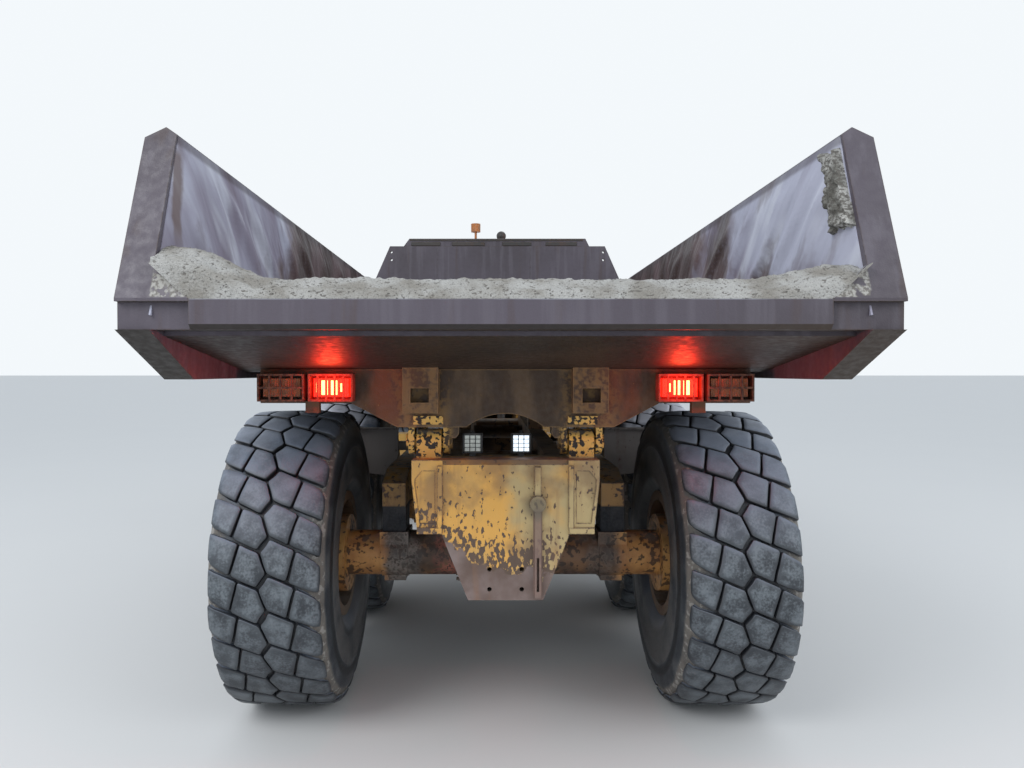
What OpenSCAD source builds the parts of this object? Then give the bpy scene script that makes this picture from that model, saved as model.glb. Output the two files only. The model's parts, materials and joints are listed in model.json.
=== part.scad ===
// Articulated dump truck on three axles, empty, in millimetres.
// Front is +Y, right is +X and up is +Z. The origin lies on the ground, at the middle of the length.
// Heights are counted from the wheel centres, so that all of the truck rises with its tyres.

/* [Wheels] */
// Outside diameter of a tyre
tyre_d = 1620; // [1580:10:1660]
// Width of a tyre over its sidewalls
tyre_w = 595; // [560:5:610]
// Width of the tread
tread_w = 560; // [500:5:570]
// Number of lugs round the tread
lug_n = 26; // [16:1:26]
// Depth of the grooves between the lugs
groove_h = 30; // [15:1:35]
// Diameter of the rim at its bead seats
rim_d = 635; // [610:5:660]
// Distance between the wheel centres of one axle
track = 2290; // [2250:5:2300]
// Place of the rear axle
rear_axle_y = -3415; // [-3450:5:-3400]
// Gap between the tyres of the rear and the middle axle
bogie_gap = 50; // [40:5:80]
// Place of the front axle
front_axle_y = 2425; // [2400:5:2450]

/* [Axles] */
// Outside radius of an axle tube
axle_r = 125; // [100:5:130]
// Radius of the differential housing
diff_r = 235; // [210:5:240]
// Radius of the brake housing inside a rim
brake_r = 215; // [180:5:230]
// Radius of the clamps that hold the axle tubes
clamp_r = 148; // [140:1:160]
// Radius of the hub that carries a wheel
hub_r = 165; // [150:5:175]
// Radius of a drive shaft
shaft_r = 50; // [35:5:60]

/* [Rear frame] */
// Top of the rails over the wheel centres
rail_rise = 590; // [580:5:600]
// Depth of the rails
rail_h = 320; // [260:10:330]
// Inner face of a rail
rail_x0 = 220; // [215:5:225]
// Outer face of a rail
rail_x1 = 330; // [310:5:335]
// Rear face of the tail plate
tail_plate_y = -4185; // [-4200:5:-4170]
// Outer face of the ears beside the tail plate
ear_x = 445; // [440:5:450]
// Height of the ears
ear_h = 333; // [300:5:350]
// Half of the width of the tail plate
tail_half = 310; // [300:5:315]
// Half of the width of its foot
foot_half = 178; // [150:5:200]
// Lowest point of the foot over the wheel centres
foot_rise = -50; // [-80:5:0]
// Diameter of the four holes in the foot
tow_hole_d = 22; // [18:1:26]
// Spacing of those holes across
tow_dx = 153; // [130:1:160]
// Spacing of those holes in height
tow_dz = 95; // [80:1:100]
// Distance of the tail plate's rib from the middle
tail_rib_x = 152; // [100:1:160]

/* [Bogie] */
// Inner face of a walking beam
beam_x0 = 545; // [540:5:550]
// Outer face of a walking beam
beam_x1 = 675; // [660:5:690]
// Radius of the cross shaft that the beams rock on
beam_pin_r = 70; // [60:5:80]
// Height of a rubber spring block
spring_h = 144; // [120:2:160]
// Length of a spring block
spring_l = 200; // [180:5:220]
// Inner edge of a mud shield
shield_x0 = 700; // [690:5:710]
// Outer edge of a mud shield
shield_x1 = 1400; // [1300:10:1420]
// Height of a mud shield
shield_h = 340; // [300:10:380]

/* [Bed] */
// Width of the bed
bed_w = 2780; // [2740:10:2800]
// Width of the top rails and the rear posts
bed_wall = 120; // [100:5:130]
// Thickness of the side sheets
sheet = 40; // [30:5:50]
// Thickness of the floor
floor_t = 50; // [40:5:60]
// Lowest point of the floor over the rails
floor_rise = 220; // [215:5:230]
// Height of the flat outer floor over the lowest point
shelf_rise = 220; // [200:5:230]
// Height of the top rails over the floor
wall_h = 1160; // [1100:10:1200]
// Half of the width of the floor's lowest part
keel_half = 600; // [560:5:610]
// Half of the width where the sloping floor ends
slope_half = 950; // [900:5:980]
// Inner face of the headboard
headboard_y = 165; // [150:5:190]
// Thickness of the headboard
headboard_t = 50; // [40:5:60]
// Height of the headboard over the floor
headboard_h = 1520; // [1480:10:1540]
// Rear end of the bed
bed_tail_y = -5115; // [-5150:5:-5100]
// Height of the lip's underside over the floor's lowest point
lip_rise = 370; // [350:5:380]
// Height of the tail lip
lip_h = 110; // [90:5:120]
// Depth of the tail lip
lip_t = 130; // [100:5:140]
// Half of the width of the tail lip between its corner boxes
lip_half = 1130; // [1100:5:1150]
// How far the rear posts lean forward
post_lean = 270; // [200:10:300]
// How far the side sheets hang below the floor
sheet_drop = 30; // [0:5:40]
// Height of the ridge of a top rail over its outer edge
ridge_h = 45; // [20:5:60]
// Height of the plates in the rear corners
gusset_h = 130; // [80:10:150]
// Length of those plates
gusset_l = 400; // [200:10:420]

/* [Bed hinge] */
// Place of the hinge pin
hinge_y = -4030; // [-4040:5:-4020]
// Height of the hinge pin over the rails
hinge_rise = 100; // [95:1:105]
// Radius of the hinge pin
hinge_pin_r = 38; // [30:1:42]
// Radius of the frame's lugs
lug_r = 62; // [55:1:65]
// Inner face of a frame lug
lug_x0 = 310; // [305:1:315]
// Outer face of a frame lug
lug_x1 = 430; // [420:1:435]
// Thickness of the clevis plates of the bed
clevis_t = 30; // [20:1:32]
// Depth of the bolster from front to rear
bolster_l = 180; // [160:5:190]
// Inner face of a bracket over the hinge
bracket_x0 = 318; // [305:1:320]
// Outer face of that bracket
bracket_x1 = 488; // [470:1:490]
// Half of the width of the bolster with its lamp arms
bolster_half = 1175; // [1150:5:1200]

/* [Hoists] */
// Distance of a hoist from the middle
hoist_x = 440; // [435:1:445]
// Place of the lower pin
hoist_foot_y = -850; // [-900:5:-800]
// Height of the lower pin over the wheel centres
hoist_foot_rise = 40; // [20:5:60]
// Place of the rod's eye
hoist_eye_y = -2580; // [-2600:5:-2560]
// Depth of the rod's eye under the floor
hoist_eye_drop = 130; // [125:1:135]
// Outside radius of a hoist barrel
hoist_r = 75; // [65:1:80]
// Radius of a hoist rod
hoist_rod_r = 42; // [35:1:45]

/* [Articulation] */
// Place of the steering pivot
pivot_y = 1215; // [1205:5:1225]
// Height of the roll bearing over the wheel centres
hitch_rise = 140; // [130:5:150]
// Outside radius of the roll bearing's tube
roll_r = 240; // [220:5:245]
// Radius of the roll shaft
roll_shaft_r = 170; // [150:5:180]
// Radius of the pivot pins
pivot_pin_r = 50; // [40:1:55]
// Half of the height between the outer faces of the tongue plates
tongue_half = 200; // [195:1:210]
// Thickness of a tongue plate
tongue_t = 55; // [45:1:60]
// Distance of a steering rod's eye from the middle
steer_eye_x = 300; // [290:1:310]
// Distance of the eyes behind the pivot
steer_eye_back = 100; // [95:1:105]
// Distance of a steering barrel's pin from the middle
steer_foot_x = 420; // [410:1:430]
// Distance of the barrels' pins before the pivot
steer_foot_front = 900; // [890:1:910]
// Outside radius of a steering barrel
steer_r = 48; // [40:1:50]
// Radius of a steering rod
steer_rod_r = 25; // [20:1:28]

/* [Tractor] */
// Front end of the bumper
nose_y = 5115; // [5100:5:5150]
// Top of the tractor's rails over the wheel centres
chassis_rise = 450; // [440:5:460]
// Depth of the tractor's rails
chassis_h = 250; // [220:10:255]
// Inner face of a tractor rail
chassis_x0 = 245; // [240:1:250]
// Outer face of a tractor rail
chassis_x1 = 345; // [330:1:350]
// Half of the width of the bumper
bumper_half = 1200; // [1100:10:1250]
// Height of the bumper
bumper_h = 330; // [280:10:340]
// Gap between a front tyre and its fender
fender_gap = 70; // [60:5:90]
// Thickness of a fender
fender_t = 30; // [25:1:45]
// Outer face of a fuel tank
tank_x1 = 1240; // [1200:5:1260]
// Height of a tank
tank_h = 450; // [400:10:470]
// Length of a tank
tank_l = 285; // [240:5:290]
// Number of steps on the left tank
step_n = 3; // [2:1:4]

/* [Cab] */
// Half of the width of the cab
cab_half = 740; // [720:5:750]
// Rear face of the cab
cab_y0 = 1760; // [1750:5:1800]
// Front face of the cab
cab_y1 = 3240; // [3200:5:3250]
// Floor of the cab over the wheel centres
cab_rise = 560; // [550:5:580]
// Height of the cab from its floor to its roof
cab_h = 2010; // [1950:10:2040]
// Thickness of the cab's walls
cab_t = 60; // [50:1:65]
// Thickness of the panes
pane_t = 8; // [6:1:10]
// Rear edge of the door opening
door_y0 = 1960; // [1940:5:1980]
// Front edge of the door opening
door_y1 = 2800; // [2760:5:2820]
// Height of the door opening
door_h = 1500; // [1460:5:1520]
// Width of the seat
seat_w = 520; // [460:10:560]
// Height of the seat's cushion over the floor
seat_h = 450; // [420:5:480]
// Outer edge of a mirror
mirror_x = 1500; // [1440:5:1500]
// Height of a mirror
mirror_h = 450; // [380:10:480]

/* [Hood] */
// Half of the width of the hood
hood_half = 690; // [650:5:700]
// Height of the hood at its rear over the rails
hood_rear_h = 1090; // [1000:10:1150]
// Height of the hood at its front over the rails
hood_front_h = 720; // [680:10:760]
// Thickness of the hood
hood_t = 40; // [30:1:45]
// Width of the sloping edges along the hood's top
hood_bevel = 60; // [30:5:70]
// Number of slots in the grille
grille_n = 9; // [5:1:10]

/* [Hidden] */
$fn = 64;

// Clearances: at a seat, at a running pin, and between pieces that swing past each other
seat_gap = 0.3;
pin_gap = 0.5;
swing_gap = 6;

// Heights that follow from the wheels
axle_z = tyre_d / 2;
wheel_x = track / 2;
rail_z1 = axle_z + rail_rise;
rail_z0 = rail_z1 - rail_h;
hitch_z = axle_z + hitch_rise;
chassis_z1 = axle_z + chassis_rise;
chassis_z0 = chassis_z1 - chassis_h;

// Bogie
middle_axle_y = rear_axle_y + tyre_d + bogie_gap;
bogie_y = (rear_axle_y + middle_axle_y) / 2;
axle_seat_z = axle_z + axle_r + 11;
spring_z1 = axle_seat_z + spring_h;
beam_z1 = rail_z1 - 120;
beam_pin_z = rail_z1 - 250;
shield_z1 = rail_z1 + 58;

// Frame tail
tail_z1 = rail_z1 + 23;
foot_z = axle_z + foot_rise;
tow_z = foot_z + 99;

// Bed
bed_half = bed_w / 2;
inner_half = bed_half - bed_wall;
floor_z = rail_z1 + floor_rise;
shelf_z = floor_z + shelf_rise;
top_z = floor_z + wall_h;
lip_z = floor_z + lip_rise;
chute_slope = 0.138;
chute_y0 = bed_tail_y + lip_rise / chute_slope;
bed_front_y = headboard_y + headboard_t;
side_break_y = bed_tail_y + 415;
ridge_x = inner_half + 45;
chute_angle = atan(chute_slope);
rib_n = 5;
rib_w = 110;
rail_depth = 130;
sill_h = 120;

// Bed hinge
hinge_z = rail_z1 + hinge_rise;
bolster_z0 = hinge_z + 75;
bolster_y0 = hinge_y - bolster_l / 2;
lamp_arm_z = hinge_z + 191;
lamp_stub_x = 885;
lamp_inner = 720;
lamp_split = 940;
lamp_z0 = lamp_arm_z + 10;
lamp_h = 130;
// Columns: inner and outer edge, bars' gaps across, bars' gaps in height
LAMP_CELLS = [
  [[lamp_inner, lamp_split - 10], 5, 1],
  [[lamp_split + 10, bolster_half - 5], 4, 2]
];

// Hoists, drawn lying along +Y from the lower pin and then turned up to the rod's eye
hoist_foot_z = axle_z + hoist_foot_rise;
hoist_eye_z = floor_z - hoist_eye_drop;
hoist_dy = hoist_eye_y - hoist_foot_y;
hoist_dz = hoist_eye_z - hoist_foot_z;
hoist_len = sqrt(hoist_dy * hoist_dy + hoist_dz * hoist_dz);
hoist_angle = atan2(hoist_dz, hoist_dy);
hoist_eye_r = 60;
hoist_eye_w = 100;

// Steering cylinders, in plan
steer_len = sqrt(pow(steer_foot_x - steer_eye_x, 2) + pow(steer_foot_front + steer_eye_back, 2));
steer_angle = atan2(-steer_foot_front - steer_eye_back, steer_eye_x - steer_foot_x);
steer_eye_r = 45;
steer_eye_h = 56;

// Cab, hood and nose
cab_z0 = axle_z + cab_rise;
cab_z1 = cab_z0 + cab_h;
cab_x0 = cab_half - cab_t;
win_z0 = cab_z0 + 800;
win_z1 = cab_z1 - 200;
win_in = 60;
screen_top_z = cab_z1 - 80;
screen_lean = 120;
quarter_y = [door_y1 + 60, cab_y1 - 190];
door_z0 = cab_z0 + 380;
door_z1 = door_z0 + door_h;
door_pin_x = -cab_half - 12;
door_pin_y = door_y1;
door_pin_r = 6;
door_rim = 80;
door_win_z1 = win_z1 - 120;
knuckle_r = 11;
knuckle_h = 45;
knuckle_zs = [door_z0 + 150, door_z1 - 250];
hood_y0 = cab_y1 + 40;
hood_y1 = nose_y - 75;
hood_z0 = chassis_z1 + 5;
hood_pin_y = hood_y1 - 40;
hood_pin_z = chassis_z0;
bumper_z1 = hood_pin_z - 42;
fender_r = tyre_d / 2 + fender_gap;
fender_z = axle_z + fender_r;
lamp_xs = [760, 930];
lamp_r = 65;
lamp_l = 60;
head_lamp_z = bumper_z1 - 150;
hood_low_z = hood_pin_z + 42;
hood_angle = atan((hood_rear_h - hood_front_h) / (hood_y1 - 160 - hood_y0));

// Draws its children on the right and again, mirrored, on the left
module both_sides() {
  children();
  mirror([1, 0, 0]) children();
}

// Draws its children on one side only
module on_side(side) {
  if (side > 0) children();
  else mirror([1, 0, 0]) children();
}

// A block between two places on each axis
module block(x, y, z) {
  translate([x[0], y[0], z[0]]) cube([x[1] - x[0], y[1] - y[0], z[1] - z[0]]);
}

// A round bar along X, along Y or along Z
module bar_x(r, x, y, z) {
  translate([x[0], y, z]) rotate([0, 90, 0]) cylinder(h = x[1] - x[0], r = r);
}
module bar_y(r, x, y, z) {
  translate([x, y[0], z]) rotate([-90, 0, 0]) cylinder(h = y[1] - y[0], r = r);
}
module bar_z(r, x, y, z) {
  translate([x, y, z[0]]) cylinder(h = z[1] - z[0], r = r);
}

// An outline in Y and Z, drawn out along X
module slab_x(x, outline) {
  translate([x[0], 0, 0]) rotate([90, 0, 90]) linear_extrude(x[1] - x[0]) polygon(outline);
}

// An outline in X and Z, drawn out along Y
module slab_y(y, outline) {
  translate([0, y[1], 0]) rotate([90, 0, 0]) linear_extrude(y[1] - y[0]) polygon(outline);
}

// Rear frame

module rear_rails() {
  nose_y0 = 420;
  nose_y1 = 800;
  nose_z0 = hitch_z - roll_r - 15;
  rail_y0 = tail_plate_y + 35;
  foot_t = 40;
  color("#c9973f") {
    difference() {
      union() {
        both_sides() {
          slab_x([rail_x0, rail_x1], [
            [rail_y0, rail_z0 + 40], [hoist_foot_y - 600, rail_z0], [hoist_foot_y + 300, rail_z0 - 230],
            [nose_y0 + 60, nose_z0], [nose_y0 + 60, rail_z1 - 60], [nose_y0 - 250, rail_z1],
            [rail_y0, rail_z1]
          ]);
          for (x = [hoist_x - hoist_eye_w / 2 - swing_gap - foot_t, hoist_x + hoist_eye_w / 2 + swing_gap])
            bar_x(hoist_eye_r + 20, [x, x + foot_t], hoist_foot_y, hoist_foot_z);
          block([rail_x1 - 5, hoist_x + hoist_eye_w / 2 + swing_gap + foot_t],
                [hoist_foot_y + 90, hoist_foot_y + 130], [hoist_foot_z - 80, hoist_foot_z + 160]);
          for (x = [hoist_x - hoist_eye_w / 2 - swing_gap - foot_t, hoist_x + hoist_eye_w / 2 + swing_gap])
            block([x, x + foot_t], [hoist_foot_y, hoist_foot_y + 95],
                  [hoist_foot_z - 79, hoist_foot_z + 79]);
          bar_x(35, [hoist_x - hoist_eye_w / 2 - 20, hoist_x + hoist_eye_w / 2 + 20],
                hoist_foot_y, hoist_foot_z);
        }
        for (y = [hinge_y + 260, bogie_y - 420, hoist_foot_y + 180, nose_y0 - 150])
          bar_x(60, [-rail_x0 - 5, rail_x0 + 5], y, rail_z1 - 110);
        bar_x(beam_pin_r, [-beam_x1 - 15, beam_x1 + 15], bogie_y, beam_pin_z);
        both_sides()
          for (y = [bogie_y + 780, hoist_foot_y + 850])
            block([rail_x0, rail_x1], [y - 100, y + 100], [rail_z1 - 5, floor_z - seat_gap]);
        bar_y(roll_r, 0, [nose_y0, nose_y1], hitch_z);
        block([-rail_x1, rail_x1], [nose_y0 - 60, nose_y0 + 60], [nose_z0, rail_z1 - 60]);
      }
      bar_y(roll_shaft_r + seat_gap, 0, [nose_y0 + 60, nose_y1 + 1], hitch_z);
    }
  }
}

module frame_tail() {
  box_l = 150;
  rib_half = 15;
  rib_l = 22;
  boss_z = rail_z1 - 180;
  ear_z = tail_z1 - ear_h;
  ear_taper = 26;
  panel_in = 24;
  bevel = 22;
  tail_front = tail_plate_y + 35;
  color("#c9973f") {
    difference() {
      union() {
        slab_y([tail_plate_y, tail_front], [
          [-tail_half, tail_z1], [-tail_half, ear_z], [-foot_half, foot_z], [foot_half, foot_z],
          [tail_half, ear_z], [tail_half, tail_z1]
        ]);
        both_sides() {
          slab_y([tail_plate_y, tail_front], [
            [tail_half - 1, ear_z], [ear_x - ear_taper, ear_z], [ear_x, ear_z + 0.7 * ear_h],
            [ear_x, tail_z1], [tail_half - 1, tail_z1]
          ]);
          block([rail_x1, ear_x - ear_taper], [tail_front - 1, hinge_y + 110], [ear_z, tail_z1]);
          slab_x([lug_x0, lug_x1], [
            [hinge_y - lug_r, tail_z1 - 20], [hinge_y + lug_r, tail_z1 - 20],
            [hinge_y + lug_r, hinge_z], [hinge_y - lug_r, hinge_z]
          ]);
          bar_x(lug_r, [lug_x0, lug_x1], hinge_y, hinge_z);
          block([tail_half - 10, ear_x - ear_taper], [tail_plate_y - 12, tail_plate_y + 60],
                [ear_z - 14, ear_z + 14]);
        }
        block([-ear_x, ear_x], [tail_plate_y + 5, hinge_y + 110], [rail_z1, tail_z1]);
        block([-foot_half + 20, foot_half - 20], [tail_front, tail_plate_y + box_l], [foot_z, tow_z + 110]);
        block([tail_rib_x - rib_half, tail_rib_x + rib_half], [tail_plate_y - rib_l, tail_plate_y + 1],
              [foot_z + 15, tail_z1 - 30]);
        bar_y(38, tail_rib_x, [tail_plate_y - 34, tail_plate_y + 1], boss_z);
        both_sides()
          block([tail_half - 12, tail_half + 12], [tail_plate_y - 10, tail_plate_y + 1],
                [ear_z, tail_z1 - bevel - 4]);
      }
      slab_x([14 - tail_half, tail_half - 14], [
        [tail_plate_y - 1, tail_z1 - bevel], [tail_plate_y + 1.2 * bevel, tail_z1 + 1],
        [tail_plate_y - 1, tail_z1 + 1]
      ]);
      both_sides() slab_y([tail_plate_y - 1, tail_plate_y + 6], [
        [tail_half + panel_in, ear_z + 34], [ear_x - ear_taper - 14, ear_z + 34],
        [ear_x - 16, ear_z + 0.65 * ear_h], [ear_x - 16, tail_z1 - 90], [ear_x - 50, tail_z1 - 50],
        [tail_half + panel_in, tail_z1 - 50]
      ]);
      block([tail_rib_x - 6, tail_rib_x + 6], [tail_plate_y - rib_l - 1, tail_plate_y + 12],
            [foot_z + 45, foot_z + 205]);
      both_sides() bar_x(hinge_pin_r + pin_gap, [lug_x0 - 1, lug_x1 + 1], hinge_y, hinge_z);
      for (x = [-tow_dx / 2, tow_dx / 2], z = [tow_z - tow_dz / 2, tow_z + tow_dz / 2])
        bar_y(tow_hole_d / 2, x, [tail_plate_y - 1, tail_plate_y + box_l + 1], z);
    }
  }
}

module walking_beams() {
  end_l = 230;
  color("#b98a3a") {
    both_sides() difference() {
      slab_x([beam_x0, beam_x1], [
        [rear_axle_y - end_l / 2, spring_z1], [rear_axle_y + end_l / 2, spring_z1],
        [bogie_y - 260, beam_pin_z - 130], [bogie_y + 260, beam_pin_z - 130],
        [middle_axle_y - end_l / 2, spring_z1], [middle_axle_y + end_l / 2, spring_z1],
        [middle_axle_y + end_l / 2, beam_z1 - 60], [middle_axle_y - 100, beam_z1],
        [rear_axle_y + 100, beam_z1], [rear_axle_y - end_l / 2, beam_z1 - 60]
      ]);
      bar_x(beam_pin_r + seat_gap, [beam_x0 - 1, beam_x1 + 1], bogie_y, beam_pin_z);
    }
  }
}

module spring_blocks() {
  color("#2b2a28")
    both_sides()
      for (y = [rear_axle_y, middle_axle_y])
        block([beam_x0, beam_x1], [y - spring_l / 2, y + spring_l / 2], [axle_seat_z, spring_z1]);
}

// An axle beam with its differential, spring seats and the brake housings that carry the hubs
module axle_beam(y, seats_x) {
  pinion_r = 100;
  brake_x = wheel_x - tyre_w / 2 + 25;
  hub_face_x = wheel_x + 95;
  // Columns: distance from the middle, radius
  half_profile = [
    [hub_face_x, 0], [hub_face_x, hub_r], [brake_x + 110, hub_r], [brake_x + 110, brake_r],
    [brake_x, brake_r], [brake_x, axle_r], [diff_r + 15, axle_r], [diff_r - 40, diff_r - 55],
    [diff_r - 95, diff_r]
  ];
  color("#b0793a") {
    translate([0, y, axle_z]) rotate([0, 90, 0]) rotate_extrude() polygon(concat(
      [for (p = half_profile) [p[1], -p[0]]],
      [for (i = [len(half_profile) - 1 : -1 : 0]) [half_profile[i][1], half_profile[i][0]]]
    ));
    bar_y(pinion_r, 0, [y - diff_r - 25, y + diff_r + 60], axle_z);
    both_sides() {
      block(seats_x, [y - 115, y + 115], [axle_z + 20, axle_seat_z]);
      bar_x(clamp_r - 15, [seats_x[0] + 6, seats_x[1] - 6], y, axle_z);
      block([seats_x[0] + 20, seats_x[1] - 20], [y - 60, y + 60], [axle_z - clamp_r, axle_z]);
    }
  }
}

module rear_axle() axle_beam(rear_axle_y, [beam_x0 - 15, beam_x1 + 15]);
module middle_axle() axle_beam(middle_axle_y, [beam_x0 - 15, beam_x1 + 15]);
module front_axle() axle_beam(front_axle_y, [chassis_x0 + 10, chassis_x1 + 20]);

module drive_shafts() {
  color("#6b5a45") {
    bar_y(shaft_r, 0, [rear_axle_y + diff_r + 60, middle_axle_y - diff_r - 25], axle_z);
    bar_y(shaft_r, 0, [middle_axle_y + diff_r + 60, 330], axle_z);
    bar_y(75, 0, [330, 360], axle_z);
  }
}

module mud_shields() {
  shield_t = 30;
  color("#8b8d8e")
    both_sides() {
      slab_y([bogie_y, bogie_y + shield_t], [
        [shield_x0, shield_z1 - shield_h + 10], [shield_x0, shield_z1], [shield_x1, shield_z1],
        [shield_x1, shield_z1 - shield_h + 90]
      ]);
      block([shield_x0, shield_x1], [bogie_y - 40, bogie_y + 40], [shield_z1 - 6, shield_z1 + 4]);
      block([rail_x1, shield_x0 + 60], [bogie_y + shield_t, bogie_y + shield_t + 50],
            [beam_z1 + 25, beam_z1 + 85]);
    }
}

module work_lamps() {
  lamp_back = hinge_y + 14;
  lamp_depth = 56;
  foot_h = 15;
  color("#3c3c3c")
    for (x = [-160, 80]) {
      block([x - 50, x + 50], [lamp_back, lamp_back + lamp_depth], [tail_z1 + foot_h, tail_z1 + 112]);
      block([x - 15, x + 15], [lamp_back + 14, lamp_back + 42], [tail_z1, tail_z1 + foot_h + 5]);
    }
}

// Bed

// The sloped and stepped underside of the bed in X and Z, raised by a height and cut at a half width
function bed_outline(rise, half) = [
  [-half, shelf_z + rise], [-slope_half, shelf_z + rise], [-keel_half, floor_z + rise],
  [keel_half, floor_z + rise], [slope_half, shelf_z + rise], [half, shelf_z + rise],
  [half, top_z + rise], [-half, top_z + rise]
];

// The level floor and the chute that rises to the tail, in Y and Z
function chute_outline(rise, y0, y1) = [
  [y1, floor_z + rise], [chute_y0, floor_z + rise],
  [y0, floor_z + rise + chute_slope * (chute_y0 - y0)],
  [y0, top_z + rise], [y1, top_z + rise]
];

// The space over the bed's underside
module bed_space(rise, half, y0, y1) {
  intersection() {
    slab_y([y0, y1], bed_outline(rise, half));
    slab_x([-half, half], chute_outline(rise, y0, y1));
  }
}

module bed_floor() {
  y0 = bed_tail_y + lip_t;
  color("#5d5351")
    difference() {
      bed_space(0, inner_half, y0, headboard_y);
      bed_space(floor_t, inner_half + 50, y0 - 50, headboard_y + 50);
    }
}

// One side: the sheet with its ribs, top rail, sill, leaning post and corner box
module bed_side(side) {
  rib_step = (headboard_y - side_break_y - 700) / (rib_n - 1);
  side_outline = [
    [bed_tail_y, lip_z], [side_break_y, shelf_z - sheet_drop], [bed_front_y, shelf_z - sheet_drop],
    [bed_front_y, top_z], [bed_tail_y + post_lean, top_z], [bed_tail_y, lip_z + lip_h]
  ];
  flange_t = 12;
  flange_l = 25;
  color("#5a5050")
    on_side(side) {
      difference() {
        slab_x([inner_half, bed_half], side_outline);
        for (i = [0 : rib_n - 2]) {
          y = side_break_y + 500 + i * rib_step;
          block([inner_half + sheet, bed_half + 1], [y, y + rib_step - rib_w],
                [shelf_z + sill_h, top_z - rail_depth]);
        }
        slab_x([inner_half + sheet, bed_half + 1], [
          [bed_tail_y + 130, lip_z + lip_h + 30], [side_break_y + 390, shelf_z + sill_h + 40],
          [side_break_y + 390, top_z - rail_depth], [bed_tail_y + post_lean + 110, top_z - rail_depth]
        ]);
        slab_y([bed_tail_y, bed_front_y + 1], [
          [inner_half - 1, top_z + 1], [ridge_x, top_z + 1], [ridge_x, top_z], [inner_half - 1, top_z - 32]
        ]);
        slab_y([bed_tail_y, bed_front_y + 1], [
          [bed_half + 1, top_z + 1], [ridge_x, top_z + 1], [ridge_x, top_z], [bed_half + 1, top_z - ridge_h]
        ]);
        block([inner_half - 1, bed_half + 1], [bed_tail_y - 1, bed_tail_y + flange_l],
              [lip_z - 1, lip_z + lip_h - flange_t]);
      }
      block([lip_half, inner_half + 1], [bed_tail_y + flange_l, bed_tail_y + lip_t], [lip_z, lip_z + lip_h]);
      block([lip_half, inner_half + 1], [bed_tail_y, bed_tail_y + flange_l + 1],
            [lip_z + lip_h - flange_t, lip_z + lip_h]);
      corner_plate(flange_t, flange_l);
    }
}

// The plate that closes a rear corner between the wall and the chute's floor, cut flush with the post
module corner_plate(flange_t, flange_l) {
  foot_z = lip_z + lip_h - flange_t;
  front_y = bed_tail_y + gusset_l + 20;
  intersection() {
    translate([0, bed_tail_y, lip_z + lip_h]) rotate([-chute_angle, 0, 0])
      slab_y([-50, gusset_l], [
        [lip_half + 1, -2], [inner_half + 1, gusset_h], [inner_half + 1, -59], [lip_half + 1, -59]
      ]);
    slab_x([lip_half, inner_half + 2], [
      [bed_tail_y, foot_z], [bed_tail_y + flange_l, foot_z], [bed_tail_y + flange_l + 5, lip_z],
      [front_y, lip_z - 100], [front_y, top_z], [bed_tail_y + post_lean, top_z], [bed_tail_y, lip_z + lip_h]
    ]);
  }
}
module bed_side_left() bed_side(-1);
module bed_side_right() bed_side(1);

module bed_headboard() {
  head_z = floor_z + headboard_h;
  guard_h = 80;
  guard_in = 300;
  color("#544b4b")
    difference() {
      union() {
        slab_y([headboard_y, bed_front_y], [
          [-inner_half, shelf_z], [-slope_half, shelf_z], [-keel_half, floor_z], [keel_half, floor_z],
          [slope_half, shelf_z], [inner_half, shelf_z], [inner_half, top_z],
          [inner_half - 160, head_z], [-inner_half + 160, head_z], [-inner_half, top_z]
        ]);
        slab_y([headboard_y + 10, bed_front_y + 30], [
          [-inner_half + guard_in, head_z], [inner_half - guard_in - 20, head_z],
          [inner_half - guard_in - 60, head_z + guard_h], [-inner_half + guard_in + 60, head_z + guard_h]
        ]);
        for (x = [-900, -300, 300, 900])
          block([x - 40, x + 40], [bed_front_y, bed_front_y + 35], [shelf_z + 60, head_z - 60]);
      }
      both_sides() for (z = [head_z - 60, head_z - 140])
        bar_y(12, inner_half - 175, [headboard_y - 1, bed_front_y + 40], z);
    }
}

module bed_lip() {
  color("#605655")
    slab_x([-lip_half, lip_half], [
      [bed_tail_y, lip_z + 18], [bed_tail_y, lip_z + lip_h - 6], [bed_tail_y + 6, lip_z + lip_h],
      [bed_tail_y + lip_t, lip_z + lip_h], [bed_tail_y + lip_t, lip_z], [bed_tail_y + 18, lip_z]
    ]);
}

// The boxes that stand on the bolster over the hinges, each with a square hole in its rear face
module hinge_brackets() {
  depth = 60;
  wall = 12;
  hole_x = [bracket_x0 + 45, bracket_x1 - 38];
  hole_z = [bolster_z0 + 120, bolster_z0 + 188];
  both_sides() difference() {
    block([bracket_x0, bracket_x1], [bolster_y0 - depth, bolster_y0 + 1], [bolster_z0 + 70, shelf_z + 60]);
    bed_space(0, inner_half, bed_tail_y, headboard_y);
    block([bracket_x0 + wall, bracket_x1 - wall], [bolster_y0 - depth + wall, bolster_y0],
          [bolster_z0 + 70 + wall, shelf_z + 80]);
    block(hole_x, [bolster_y0 - depth - 1, bolster_y0], hole_z);
  }
}

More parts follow.
